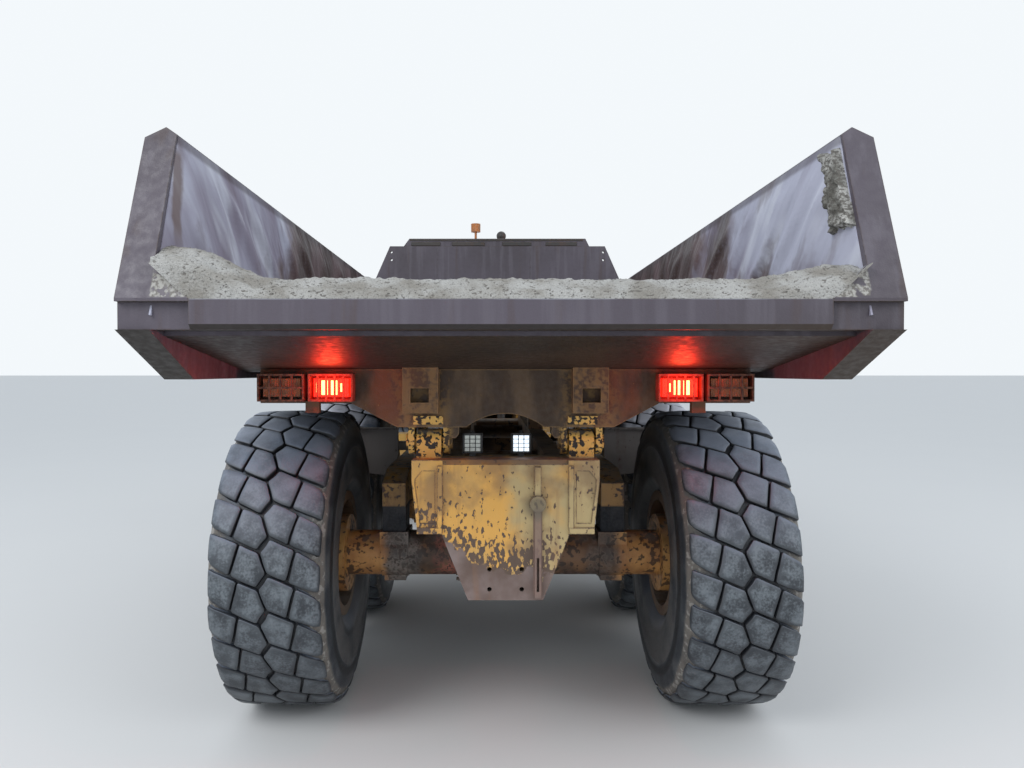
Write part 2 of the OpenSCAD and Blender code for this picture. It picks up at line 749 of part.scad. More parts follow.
// The cross bolster under the chute, its lamp arms and the clevises round the frame's lugs
module bed_bolster() {
  y0 = bolster_y0;
  y1 = hinge_y + bolster_l / 2;
  arch_r = 300;
  arch_rise = 65;
  haunch_w = 45;
  clevis_gap = 10;
  clevis_x0 = lug_x0 - clevis_gap - clevis_t;
  pin_end = 12;
  bar_l = 14;
  color("#4d4140")
    difference() {
      union() {
        difference() {
          union() {
            slab_y([y0, y1], [
              [-bolster_half, shelf_z + 60], [-bolster_half, lamp_arm_z], [-740, lamp_arm_z],
              [-520, bolster_z0], [520, bolster_z0], [740, lamp_arm_z], [bolster_half, lamp_arm_z],
              [bolster_half, shelf_z + 60]
            ]);
            both_sides()
              block([clevis_x0 - haunch_w, clevis_x0 + 1], [hinge_y - lug_r + 4, hinge_y + lug_r - 4],
                    [hinge_z + 20, bolster_z0 + 1]);
          }
          translate([0, y0 - 1, bolster_z0 + arch_rise - arch_r]) rotate([-90, 0, 0])
            cylinder(h = bolster_l + 2, r = arch_r, $fn = 96);
          bed_space(0, inner_half, bed_tail_y, headboard_y);
        }
        hinge_brackets();
        both_sides() {
          block([lamp_stub_x, lamp_stub_x + 65], [y0 - 40, y0 + 1], [lamp_arm_z - 45, lamp_arm_z + 10]);
          block([lug_x0 - clevis_gap - 1, lug_x1 + clevis_gap + 1], [y0 - bar_l, y0 + 5],
                [bolster_z0 + bar_l, bolster_z0 + bar_l + 40]);
          for (x = [clevis_x0, lug_x1 + clevis_gap]) {
            bar_x(lug_r, [x, x + clevis_t], hinge_y, hinge_z);
            block([x, x + clevis_t], [hinge_y - lug_r, hinge_y + lug_r], [hinge_z, bolster_z0 + 50]);
          }
          bar_x(hinge_pin_r, [clevis_x0 - pin_end, lug_x1 + clevis_gap + clevis_t + pin_end],
                hinge_y, hinge_z);
        }
        both_sides()
          for (x = [hoist_x - hoist_eye_w / 2 - 40, hoist_x + hoist_eye_w / 2 + 10])
            slab_x([x, x + 30], [
              [hoist_eye_y - 70, hoist_eye_z - 60], [hoist_eye_y + 70, hoist_eye_z - 60],
              [hoist_eye_y + 150, floor_z], [hoist_eye_y - 150, floor_z]
            ]);
      }
      bed_space(0, inner_half, bed_tail_y, headboard_y);
    }
}

// Each lamp has a back plate and a grid of bars before its lens
module lamp_cages() {
  depth = 75;
  bar = 9;
  color("#6b3a20")
    both_sides() for (cell = LAMP_CELLS) difference() {
      x = cell[0];
      pitch_x = (x[1] - x[0] - bar) / cell[1];
      pitch_z = (lamp_h - bar) / cell[2];
      block(x, [bolster_y0 - depth, bolster_y0], [lamp_z0, lamp_z0 + lamp_h]);
      block([x[0] + bar, x[1] - bar], [bolster_y0 - depth + bar, bolster_y0 - bar],
            [lamp_z0 + bar, lamp_z0 + lamp_h - bar]);
      for (i = [0 : cell[1] - 1], j = [0 : cell[2] - 1])
        block([x[0] + bar + i * pitch_x, x[0] + (i + 1) * pitch_x],
              [bolster_y0 - depth - 1, bolster_y0 - bar],
              [lamp_z0 + bar + j * pitch_z, lamp_z0 + (j + 1) * pitch_z]);
    }
}

// A lens stands on its cage's back plate
module lamp_lens(cell) {
  rim = 22;
  both_sides()
    block([cell[0][0] + rim, cell[0][1] - rim], [bolster_y0 - 48, bolster_y0 - 9],
          [lamp_z0 + rim, lamp_z0 + lamp_h - rim]);
}
module tail_lenses() color("#c0201a") lamp_lens(LAMP_CELLS[0]);
module turn_lenses() color("#b45a10") lamp_lens(LAMP_CELLS[1]);

// Hoists

module place_hoist(side) {
  on_side(side)
    translate([hoist_x, hoist_foot_y, hoist_foot_z]) rotate([hoist_angle, 0, 0]) children();
}

module hoist_barrel(side) {
  wall = 14;
  barrel_y0 = 100;
  barrel_y1 = hoist_len - 160;
  gland_l = 60;
  color("#3f3f40")
    place_hoist(side) difference() {
      union() {
        bar_x(hoist_eye_r, [-hoist_eye_w / 2, hoist_eye_w / 2], 0, 0);
        block([-35, 35], [0, barrel_y0 + 5], [-45, 45]);
        bar_y(hoist_r, 0, [barrel_y0, barrel_y1], 0);
      }
      bar_x(35 + pin_gap, [-hoist_eye_w, hoist_eye_w], 0, 0);
      bar_y(hoist_r - wall, 0, [barrel_y0 + 30, barrel_y1 - gland_l], 0);
      bar_y(hoist_rod_r + seat_gap, 0, [barrel_y1 - gland_l - 1, barrel_y1 + 1], 0);
    }
}
module hoist_barrel_left() hoist_barrel(-1);
module hoist_barrel_right() hoist_barrel(1);

module hoist_rod(side) {
  rod_y0 = 140;
  color("#b8bcc0")
    place_hoist(side) difference() {
      union() {
        bar_y(hoist_rod_r, 0, [rod_y0, hoist_len], 0);
        bar_x(hoist_eye_r, [-hoist_eye_w / 2, hoist_eye_w / 2], hoist_len, 0);
      }
      bar_x(30, [-hoist_eye_w, hoist_eye_w], hoist_len, 0);
    }
}
module hoist_rod_left() hoist_rod(-1);
module hoist_rod_right() hoist_rod(1);

// Articulation

module hitch_yoke() {
  shaft_y0 = 500;
  collar_y0 = 800 + swing_gap;
  collar_y1 = 860;
  body_y1 = pivot_y - 215;
  tongue_r = 120;
  color("#c9973f")
    difference() {
      union() {
        bar_y(roll_shaft_r, 0, [shaft_y0, collar_y1], hitch_z);
        bar_y(roll_r, 0, [collar_y0, collar_y1], hitch_z);
        block([-150, 150], [collar_y1 - 10, body_y1], [hitch_z - tongue_half, hitch_z + tongue_half]);
        for (z = [hitch_z - tongue_half, hitch_z + tongue_half - tongue_t]) {
          block([-tongue_r, tongue_r], [body_y1 - 5, pivot_y], [z, z + tongue_t]);
          bar_z(tongue_r, 0, pivot_y, [z, z + tongue_t]);
        }
        both_sides()
          for (z = [hitch_z - steer_eye_h / 2 - swing_gap - 25, hitch_z + steer_eye_h / 2 + swing_gap])
            slab_z([z, z + 25], [
              [145, collar_y1 + 20], [145, body_y1], [steer_eye_x - 60, pivot_y - steer_eye_back + 50],
              [steer_eye_x + 50, pivot_y - steer_eye_back + 50],
              [steer_eye_x + 50, pivot_y - steer_eye_back - 50], [steer_eye_x - 60, collar_y1 + 20]
            ]);
      }
      bar_z(pivot_pin_r + pin_gap, 0, pivot_y,
            [hitch_z - tongue_half - 1, hitch_z + tongue_half + 1]);
    }
}

// An outline in X and Y, drawn up along Z
module slab_z(z, outline) {
  translate([0, 0, z[0]]) linear_extrude(z[1] - z[0]) polygon(outline);
}

module place_steer(side) {
  on_side(side)
    translate([steer_foot_x, pivot_y + steer_foot_front, hitch_z]) rotate([0, 0, steer_angle - 90])
      children();
}

module steer_barrel(side) {
  wall = 9;
  barrel_y0 = 60;
  barrel_y1 = steer_len - 330;
  gland_l = 40;
  color("#3f3f40")
    place_steer(side) difference() {
      union() {
        bar_z(steer_eye_r, 0, 0, [-steer_eye_h / 2, steer_eye_h / 2]);
        block([-22, 22], [0, barrel_y0 + 5], [-22, 22]);
        bar_y(steer_r, 0, [barrel_y0, barrel_y1], 0);
      }
      bar_z(20 + pin_gap, 0, 0, [-steer_eye_h, steer_eye_h]);
      bar_y(steer_r - wall, 0, [barrel_y0 + 25, barrel_y1 - gland_l], 0);
      bar_y(steer_rod_r + seat_gap, 0, [barrel_y1 - gland_l - 1, barrel_y1 + 1], 0);
    }
}
module steer_barrel_left() steer_barrel(-1);
module steer_barrel_right() steer_barrel(1);

module steer_rod(side) {
  rod_y0 = 340;
  color("#b8bcc0")
    place_steer(side) difference() {
      union() {
        bar_y(steer_rod_r, 0, [rod_y0, steer_len - 30], 0);
        bar_z(steer_eye_r, 0, steer_len, [-steer_eye_h / 2, steer_eye_h / 2]);
      }
      bar_z(20, 0, steer_len, [-steer_eye_h, steer_eye_h]);
    }
}
module steer_rod_left() steer_rod(-1);
module steer_rod_right() steer_rod(1);

// Tractor

module front_frame() {
  neck_y0 = pivot_y + 350;
  neck_y1 = pivot_y + 800;
  ear_t = 45;
  ear_r = 120;
  foot_y = pivot_y + steer_foot_front;
  rail_y1 = nose_y - 160;
  color("#c9973f") {
    block([-chassis_x0, chassis_x0], [neck_y0, neck_y1],
          [hitch_z - tongue_half - ear_t - seat_gap, chassis_z1 - 40]);
    for (z = [hitch_z - tongue_half - ear_t - seat_gap, hitch_z + tongue_half + seat_gap]) {
      block([-ear_r, ear_r], [pivot_y, neck_y0 + 5], [z, z + ear_t]);
      bar_z(ear_r, 0, pivot_y, [z, z + ear_t]);
    }
    bar_z(pivot_pin_r, 0, pivot_y,
          [hitch_z - tongue_half - ear_t - 20, hitch_z - tongue_half + tongue_t + 15]);
    bar_z(pivot_pin_r, 0, pivot_y,
          [hitch_z + tongue_half - tongue_t - 15, hitch_z + tongue_half + ear_t + 20]);
    both_sides() {
      block([chassis_x0, chassis_x1], [neck_y1 - 300, rail_y1], [chassis_z0, chassis_z1]);
      for (z = [hitch_z - steer_eye_h / 2 - swing_gap - 25, hitch_z + steer_eye_h / 2 + swing_gap])
        block([chassis_x0 - 20, steer_foot_x + 60], [foot_y - 50, foot_y + 60], [z, z + 25]);
      block([chassis_x0 - 20, chassis_x1], [foot_y + 20, foot_y + 60], [hitch_z - 60, chassis_z0 + 10]);
      bar_z(20, steer_foot_x, foot_y, [hitch_z - 50, hitch_z + 50]);
      block([chassis_x0 + 10, chassis_x1 + 20], [front_axle_y - 115, front_axle_y + 115],
            [axle_seat_z, chassis_z0]);
    }
    for (y = [front_axle_y + 900, rail_y1 - 80])
      block([-chassis_x0, chassis_x0], [y, y + 80], [chassis_z0, chassis_z0 + 160]);
    both_sides()
      block([chassis_x0, cab_half - 100], [cab_y0 + 100, cab_y0 + 200], [chassis_z1, cab_z0]);
    both_sides()
      block([chassis_x0, cab_half - 100], [cab_y1 - 200, cab_y1 - 100], [chassis_z1, cab_z0]);
  }
}

module engine() {
  color("#5b5f60") {
    block([-chassis_x0 + 12, chassis_x0 - 12], [cab_y1 + 180, nose_y - 560],
          [chassis_z0 - 60, chassis_z1 + 480]);
    both_sides()
      for (y = [cab_y1 + 250, nose_y - 800])
        block([chassis_x0 - 15, chassis_x1 - 20], [y, y + 120], [chassis_z1, chassis_z1 + 60]);
  }
}

module cab_shell() {
  pane_x = cab_x0 - win_in;
  color("#c9973f") {
    door_hinges(0, [door_pin_y, door_pin_y + 60]);
    for (z = knuckle_zs)
      bar_z(door_pin_r, door_pin_x, door_pin_y, [z + 5, z + 2 * knuckle_h + 10]);
    difference() {
      union() {
        slab_x([-cab_half, cab_half], [
          [cab_y0, cab_z0], [cab_y1, cab_z0], [cab_y1, win_z0], [cab_y1 - screen_lean, screen_top_z],
          [cab_y1 - 160, cab_z1], [cab_y0 + 30, cab_z1], [cab_y0, cab_z1 - 60]
        ]);
        block([-cab_half, cab_half], [cab_y0 - 20, cab_y1 - 60], [cab_z1 - 90, cab_z1 - 20]);
      }
      slab_x([-cab_x0, cab_x0], [
        [cab_y0 + cab_t, cab_z0 + cab_t], [cab_y1 - cab_t, cab_z0 + cab_t], [cab_y1 - cab_t, win_z0],
        [cab_y1 - screen_lean - cab_t, cab_z1 - 100], [cab_y0 + cab_t, cab_z1 - 100]
      ]);
      block([-pane_x, pane_x], [cab_y1 - 250, cab_y1 + 10], [win_z0 + win_in, win_z1 + win_in]);
      block([-pane_x, pane_x], [cab_y0 - 30, cab_y0 + cab_t + 1], [win_z0 + 100, win_z1]);
      block([cab_x0 - 1, cab_half + 1], [door_y0, door_y1], [win_z0, win_z1]);
      block([-cab_half - 1, -cab_x0 + 1], [door_y0, door_y1], [door_z0, door_z1]);
      both_sides() block([cab_x0 - 1, cab_half + 1], quarter_y, [win_z0, win_z1]);
    }
  }
}

// One half of the door's two hinges: a knuckle on the pin's line, with a leaf to one side of it
module door_hinges(z_from, leaf_y) {
  for (z = knuckle_zs) {
    bar_z(knuckle_r, door_pin_x, door_pin_y, [z + z_from, z + z_from + knuckle_h]);
    block([door_pin_x - 5, -cab_half + 1], leaf_y, [z + z_from, z + z_from + knuckle_h]);
  }
}

module cab_glass() {
  pane_x = cab_x0 - win_in;
  mid = cab_t / 2;
  slope = screen_lean / (screen_top_z - win_z0);
  low_y = cab_y1 - mid - slope * win_in;
  high_y = cab_y1 - mid - slope * (win_z1 + win_in - win_z0);
  color("#7fa0a8") {
    slab_x([-pane_x, pane_x], [
      [low_y, win_z0 + win_in], [low_y + pane_t, win_z0 + win_in], [high_y + pane_t, win_z1 + win_in],
      [high_y, win_z1 + win_in]
    ]);
    block([-pane_x, pane_x], [cab_y0 + mid, cab_y0 + mid + pane_t], [win_z0 + 100, win_z1]);
    block([cab_x0 + mid, cab_x0 + mid + pane_t], [door_y0, door_y1], [win_z0, win_z1]);
    both_sides() block([cab_x0 + mid, cab_x0 + mid + pane_t], quarter_y, [win_z0, win_z1]);
  }
}

module seat() {
  y0 = cab_y0 + 420;
  z0 = cab_z0 + cab_t;
  cushion_t = 120;
  cushion_l = 480;
  back_h = 750;
  color("#2c2c2e") {
    block([-seat_w / 4, seat_w / 4], [y0 + 80, y0 + 320], [z0, z0 + seat_h - cushion_t]);
    block([-seat_w / 2, seat_w / 2], [y0, y0 + cushion_l], [z0 + seat_h - cushion_t, z0 + seat_h]);
    block([10 - seat_w / 2, seat_w / 2 - 10], [y0 - 110, y0], [z0 + seat_h - 70, z0 + seat_h - 70 + back_h]);
  }
}

module dash() {
  front_y = cab_y1 - cab_t;
  deck_z = cab_z0 + cab_t + 730;
  deck_l = 300;
  deck_t = 230;
  wheel_r = 210;
  column_l = 220;
  color("#3a3a3c") {
    block([-cab_x0, cab_x0], [front_y - deck_l, front_y], [deck_z - deck_t, deck_z]);
    translate([0, front_y - deck_l - 60, deck_z + 10]) rotate([60, 0, 0]) {
      rotate_extrude() translate([wheel_r, 0]) circle(r = 16);
      for (a = [90, 210, 330]) rotate([0, 0, a]) block([-12, 12], [0, wheel_r - 5], [-8, 8]);
      translate([0, 0, -column_l]) cylinder(h = column_l, r = 30);
    }
  }
}

// Points on an arc round the front wheels' centre, in Y and Z
function wheel_arc(r, a0, a1, n) = [
  for (i = [0 : n]) let (a = a0 + (a1 - a0) * i / n) [front_axle_y + r * cos(a), axle_z + r * sin(a)]
];

module fenders() {
  x1 = wheel_x + tyre_w / 2 - 40;
  low = 25;
  steps = 9;
  color("#2f2f31")
    both_sides() {
      slab_x([cab_half + 30, x1], concat(
        wheel_arc(fender_r + fender_t, low, 180 - low, steps), wheel_arc(fender_r, 180 - low, low, steps)
      ));
      slab_x([x1 - 30, x1], concat(
        wheel_arc(fender_r + 5, low, 180 - low, steps), wheel_arc(fender_r - 45, 180 - low, low, steps)
      ));
      block([cab_half, cab_half + 35], [front_axle_y - 150, front_axle_y + 150],
            [fender_z + 2, fender_z + 20]);
    }
}

module bumper() {
  lug_t = 35;
  color("#c9973f") {
    difference() {
      slab_z([bumper_z1 - bumper_h, bumper_z1], [
        [-bumper_half, nose_y - 330], [-bumper_half, nose_y - 180], [-bumper_half + 180, nose_y],
        [bumper_half - 180, nose_y], [bumper_half, nose_y - 180], [bumper_half, nose_y - 330],
        [bumper_half - 160, nose_y - 160], [-bumper_half + 160, nose_y - 160]
      ]);
      both_sides()
        for (x = lamp_xs) bar_y(lamp_r + seat_gap, x, [nose_y - lamp_l, nose_y + 1], head_lamp_z);
    }
    both_sides() {
      block([chassis_x0, chassis_x1], [nose_y - 340, nose_y - 150], [bumper_z1 - 120, chassis_z0]);
      for (x = [455, 535]) {
        bar_x(35, [x, x + lug_t], hood_pin_y, hood_pin_z);
        block([x, x + lug_t], [hood_pin_y - 35, hood_pin_y + 35], [bumper_z1 - 5, hood_pin_z]);
      }
      bar_x(15, [455 + lug_t - 5, 540], hood_pin_y, hood_pin_z);
    }
  }
}

module head_lamps() {
  color("#d9dadb")
    both_sides()
      for (x = lamp_xs) bar_y(lamp_r, x, [nose_y - lamp_l, nose_y - 5], head_lamp_z);
}

module tank() {
  y0 = pivot_y + 45;
  y1 = y0 + tank_l;
  z0 = axle_z - 150;
  tank_x0 = 600;
  step_gap = tank_h / step_n;
  step_t = 12;
  step_x = [-tank_x1 - 95, -tank_x1 + 1];
  step_z = z0 + 80;
  color("#c9973f") {
    both_sides() {
      slab_y([y0, y1], [
        [tank_x0, z0 + 40], [tank_x0 + 40, z0], [tank_x1 - 60, z0], [tank_x1, z0 + 60],
        [tank_x1, z0 + tank_h - 30], [tank_x1 - 30, z0 + tank_h], [tank_x0, z0 + tank_h]
      ]);
      block([chassis_x0, tank_x0 + 5], [y1 - 60, y1 + 60], [hitch_z + 130, hitch_z + 190]);
    }
    for (i = [0 : step_n - 1])
      block(step_x, [y0 + 10, y1 - 10], [step_z + i * step_gap, step_z + step_t + i * step_gap]);
    for (y = [y0 + 10, y1 - 18])
      block(step_x, [y, y + 8], [step_z, step_z + step_t + (step_n - 1) * step_gap]);
  }
}

module mirrors() {
  arm_z = cab_z1 - mirror_h + 40;
  arm_y = cab_y1 - 170;
  head_w = 240;
  color("#1f1f20")
    both_sides() {
      block([cab_half, mirror_x - head_w + 20], [arm_y, arm_y + 30], [arm_z, arm_z + 30]);
      slab_z([arm_z - mirror_h + 50, arm_z + 50], [
        [mirror_x - head_w, arm_y - 5], [mirror_x, arm_y - 5], [mirror_x, arm_y + 30],
        [mirror_x - 40, arm_y + 60], [mirror_x - head_w + 40, arm_y + 60], [mirror_x - head_w, arm_y + 30]
      ]);
    }
}

module beacon() {
  x = -266;
  y = front_axle_y - 55;
  pole_h = 310;
  color("#b9853a") {
    bar_z(16, x, y, [cab_z1, cab_z1 + pole_h]);
    bar_z(62, x, y, [cab_z1 + pole_h - 5, cab_z1 + pole_h + 100]);
  }
}

module exhaust() {
  x = 60;
  y = pivot_y + 405;
  top_z = cab_z1 + 120;
  color("#35312e") {
    bar_z(48, x, y, [chassis_z1 - 40, top_z]);
    bar_z(95, x, y, [chassis_z1 + 500, chassis_z1 + 1250]);
    translate([x, y, top_z]) sphere(r = 58);
  }
}

module hood() {
  lug_t = 40;
  inner = hood_t;
  slot_h = 34;
  slot_step = (hood_front_h - 80) / grille_n;
  color("#c9973f")
    difference() {
      union() {
        difference() {
          slab_x([-hood_half, hood_half], [
            [hood_y0, hood_z0], [hood_y1 - 440, hood_z0], [hood_y1 - 380, hood_low_z],
            [hood_y1, hood_low_z], [hood_y1, hood_z0 + hood_front_h - 160],
            [hood_y1 - 160, hood_z0 + hood_front_h], [hood_y0, hood_z0 + hood_rear_h]
          ]);
          slab_x([-hood_half + inner, hood_half - inner], [
            [hood_y0 - 1, hood_low_z - 1], [hood_y1 - inner, hood_low_z - 1],
            [hood_y1 - inner, hood_z0 + hood_front_h - 180],
            [hood_y1 - 180, hood_z0 + hood_front_h - inner], [hood_y0 - 1, hood_z0 + hood_rear_h - inner]
          ]);
        }
        both_sides() {
          block([495.5, 529.5], [hood_pin_y - 35, hood_y1 - 1], [hood_pin_z, hood_low_z + 40]);
          bar_x(35, [495.5, 529.5], hood_pin_y, hood_pin_z);
        }
      }
      both_sides() translate([hood_half, hood_y0, hood_z0 + hood_rear_h]) rotate([-hood_angle, 0, 0])
        slab_y([-100, hood_y1 - hood_y0 + 200], [[-hood_bevel, 1], [1, 1], [1, -hood_bevel]]);
      for (i = [0 : grille_n - 1])
        block([-hood_half + 200, hood_half - 200], [hood_y1 - inner - 1, hood_y1 + 1],
              [hood_low_z + 80 + i * slot_step, hood_low_z + 80 + i * slot_step + slot_h]);
      both_sides() bar_x(15 + pin_gap, [490, 535], hood_pin_y, hood_pin_z);
    }
}

module cab_door() {
  gap = swing_gap;
  color("#c9973f")
    difference() {
      union() {
        block([-cab_half, -cab_x0], [door_y0 + gap, door_y1 - gap], [door_z0 + gap, door_z1 - gap]);
        door_hinges(knuckle_h + seat_gap, [door_pin_y - 60, door_pin_y - 3]);
      }
      block([-cab_half - 1, -cab_x0 + 1], [door_y0 + door_rim, door_y1 - door_rim], [win_z0, door_win_z1]);
      for (z = knuckle_zs)
        bar_z(door_pin_r + seat_gap, door_pin_x, door_pin_y, [z + knuckle_h, z + 2 * knuckle_h + 1]);
    }
}

module door_glass() {
  x = -cab_x0 - cab_t / 2;
  color("#7fa0a8")
    block([x - pane_t, x], [door_y0 + door_rim, door_y1 - door_rim], [win_z0, door_win_z1]);
}

// Wheels

// A wheel's outline is turned round its own axle, which then lies along X
module turn_wheel(x_side, y, steps) {
  translate([x_side * wheel_x, y, axle_z]) rotate([0, x_side * 90, 0])
    rotate_extrude($fn = steps) children();
}

// The rim: two flanges, a barrel, a dished disc and the hub that covers the axle's end
module rim(x_side, y) {
  r = rim_d / 2;
  half = tyre_w / 2 - 45;
  color("#b3884a")
    turn_wheel(x_side, y, 96) polygon([
      [r + 32, -half], [r + 32, -half + 16], [r, -half + 30], [r, half - 30], [r + 32, half - 16],
      [r + 32, half], [r - 20, half], [r - 26, 150], [hub_r + 20, 120], [hub_r - 30, 190],
      [90, 215], [0, 215], [0, 95 + seat_gap], [hub_r, 95 + seat_gap], [r - 40, 118], [r - 26, 60],
      [r - 22, -half]
    ]);
}

// Slanted grooves across the whole tread, one between each pair of lugs
module tread_grooves() {
  groove_w = 24;
  slant = -24;
  for (i = [0 : lug_n - 1])
    rotate([i * 360 / lug_n, 0, 0]) rotate([0, 0, slant])
      block([-tread_w / 2 - 30, tread_w / 2 + 30], [-groove_w / 2, groove_w / 2],
            [tyre_d / 2 - groove_h, tyre_d / 2 + 20]);
}

// The tyre's outline runs from bead to bead over the sidewalls, the shoulders and the tread
module tyre(x_side, y) {
  r = tyre_d / 2;
  bead = rim_d / 2;
  w = tyre_w / 2;
  t = tread_w / 2;
  half = w - 45;
  steps = 28;
  color("#34383c")
    difference() {
      turn_wheel(x_side, y, steps) polygon([
        [bead, -half + 30.5], [bead + 190, -w], [r - 60, -t - 4], [r, -t + 34],
        [r, t - 34], [r - 60, t + 4], [bead + 190, w], [bead, half - 30.5]
      ]);
      translate([x_side * wheel_x, y, axle_z]) tread_grooves();
    }
}

module rim_rear_left() rim(-1, rear_axle_y);
module rim_rear_right() rim(1, rear_axle_y);
module rim_middle_left() rim(-1, middle_axle_y);
module rim_middle_right() rim(1, middle_axle_y);
module rim_front_left() rim(-1, front_axle_y);
module rim_front_right() rim(1, front_axle_y);
module tyre_rear_left() tyre(-1, rear_axle_y);
module tyre_rear_right() tyre(1, rear_axle_y);
module tyre_middle_left() tyre(-1, middle_axle_y);
module tyre_middle_right() tyre(1, middle_axle_y);
module tyre_front_left() tyre(-1, front_axle_y);
module tyre_front_right() tyre(1, front_axle_y);

rear_rails();
frame_tail();
walking_beams();
spring_blocks();
rear_axle();
middle_axle();
drive_shafts();
mud_shields();
work_lamps();
bed_floor();
bed_side_left();
bed_side_right();
bed_headboard();
bed_lip();
bed_bolster();
lamp_cages();
tail_lenses();
turn_lenses();
hoist_barrel_left();
hoist_barrel_right();
hoist_rod_left();
hoist_rod_right();
hitch_yoke();
front_frame();
front_axle();
engine();
cab_shell();
cab_glass();
seat();
dash();
fenders();
bumper();
head_lamps();
tank();
mirrors();
beacon();
exhaust();
hood();
cab_door();
door_glass();
steer_barrel_left();
steer_barrel_right();
steer_rod_left();
steer_rod_right();
rim_rear_left();
rim_rear_right();
rim_middle_left();
rim_middle_right();
rim_front_left();
rim_front_right();
tyre_rear_left();
tyre_rear_right();
tyre_middle_left();
tyre_middle_right();
tyre_front_left();
tyre_front_right();
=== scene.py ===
import json
import random
from math import atan, copysign, cos, exp, pi, radians, sin

import bmesh
import bpy
import numpy as np
from mathutils import Matrix, Vector, noise


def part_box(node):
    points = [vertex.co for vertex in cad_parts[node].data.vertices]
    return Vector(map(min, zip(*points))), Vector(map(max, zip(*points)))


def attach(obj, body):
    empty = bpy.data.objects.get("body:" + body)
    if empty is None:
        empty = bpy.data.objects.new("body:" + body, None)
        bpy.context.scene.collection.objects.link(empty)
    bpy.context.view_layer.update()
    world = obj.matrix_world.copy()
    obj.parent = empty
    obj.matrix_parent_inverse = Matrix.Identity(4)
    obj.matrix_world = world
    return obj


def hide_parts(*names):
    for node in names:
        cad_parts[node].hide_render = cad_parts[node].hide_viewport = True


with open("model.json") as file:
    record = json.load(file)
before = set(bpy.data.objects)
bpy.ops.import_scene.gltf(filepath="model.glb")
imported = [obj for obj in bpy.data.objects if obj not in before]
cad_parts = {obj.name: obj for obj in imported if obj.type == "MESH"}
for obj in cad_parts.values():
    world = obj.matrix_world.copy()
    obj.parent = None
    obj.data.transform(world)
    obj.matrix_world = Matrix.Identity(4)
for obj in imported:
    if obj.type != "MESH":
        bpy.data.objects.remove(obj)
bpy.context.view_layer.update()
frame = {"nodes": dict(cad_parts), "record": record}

dice = random.Random(4)
X_AXIS = Vector((1, 0, 0))
Y_AXIS = Vector((0, 1, 0))
Z_AXIS = Vector((0, 0, 1))
SIDES = (("left", -1), ("right", 1))


# Materials

MATERIALS = {}


class Value:
    """A value that a material's nodes work out. It is added, subtracted and multiplied as usual."""

    def __init__(self, recipe, socket):
        self.recipe = recipe
        self.socket = socket

    def __add__(self, other):
        return self.recipe.maths("ADD", self, other)

    def __sub__(self, other):
        return self.recipe.maths("SUBTRACT", self, other)

    def __rsub__(self, other):
        return self.recipe.maths("SUBTRACT", other, self)

    def __mul__(self, other):
        return self.recipe.maths("MULTIPLY", self, other)

    def __abs__(self):
        return self.recipe.maths("ABSOLUTE", self)

    def most(self, other):
        return self.recipe.maths("MAXIMUM", self, other)

    def least(self, other):
        return self.recipe.maths("MINIMUM", self, other)

    def step(self, low, high, to=(0, 1)):
        """A smooth change from to[0] at low to to[1] at high."""
        ends = {"Value": self, "From Min": low, "From Max": high, "To Min": to[0], "To Max": to[1]}
        return self.recipe.value("ShaderNodeMapRange", ends, interpolation_type="SMOOTHSTEP")

    def band(self, start, full, end, last_full):
        """0 at the start, 1 from full to last_full, and 0 again at the end."""
        return self.step(start, full) * self.step(end, last_full)


class Nodes:
    """The node tree of a material or of the world."""

    def __init__(self, owner):
        owner.use_nodes = True
        self.tree = owner.node_tree
        self.tree.nodes.clear()

    def node(self, kind, inputs=(), **settings):
        """A new node with some of its inputs, by name or number, and its settings."""
        made = self.tree.nodes.new(kind)
        for key, value in settings.items():
            setattr(made, key, value)
        for key, value in dict(inputs).items():
            self.put(made.inputs[key], value)
        return made

    def put(self, socket, value):
        if isinstance(value, Value):
            value = value.socket
        if isinstance(value, bpy.types.NodeSocket):
            self.tree.links.new(value, socket)
        elif socket.type == "RGBA":
            socket.default_value = (*value, 1)
        else:
            socket.default_value = value


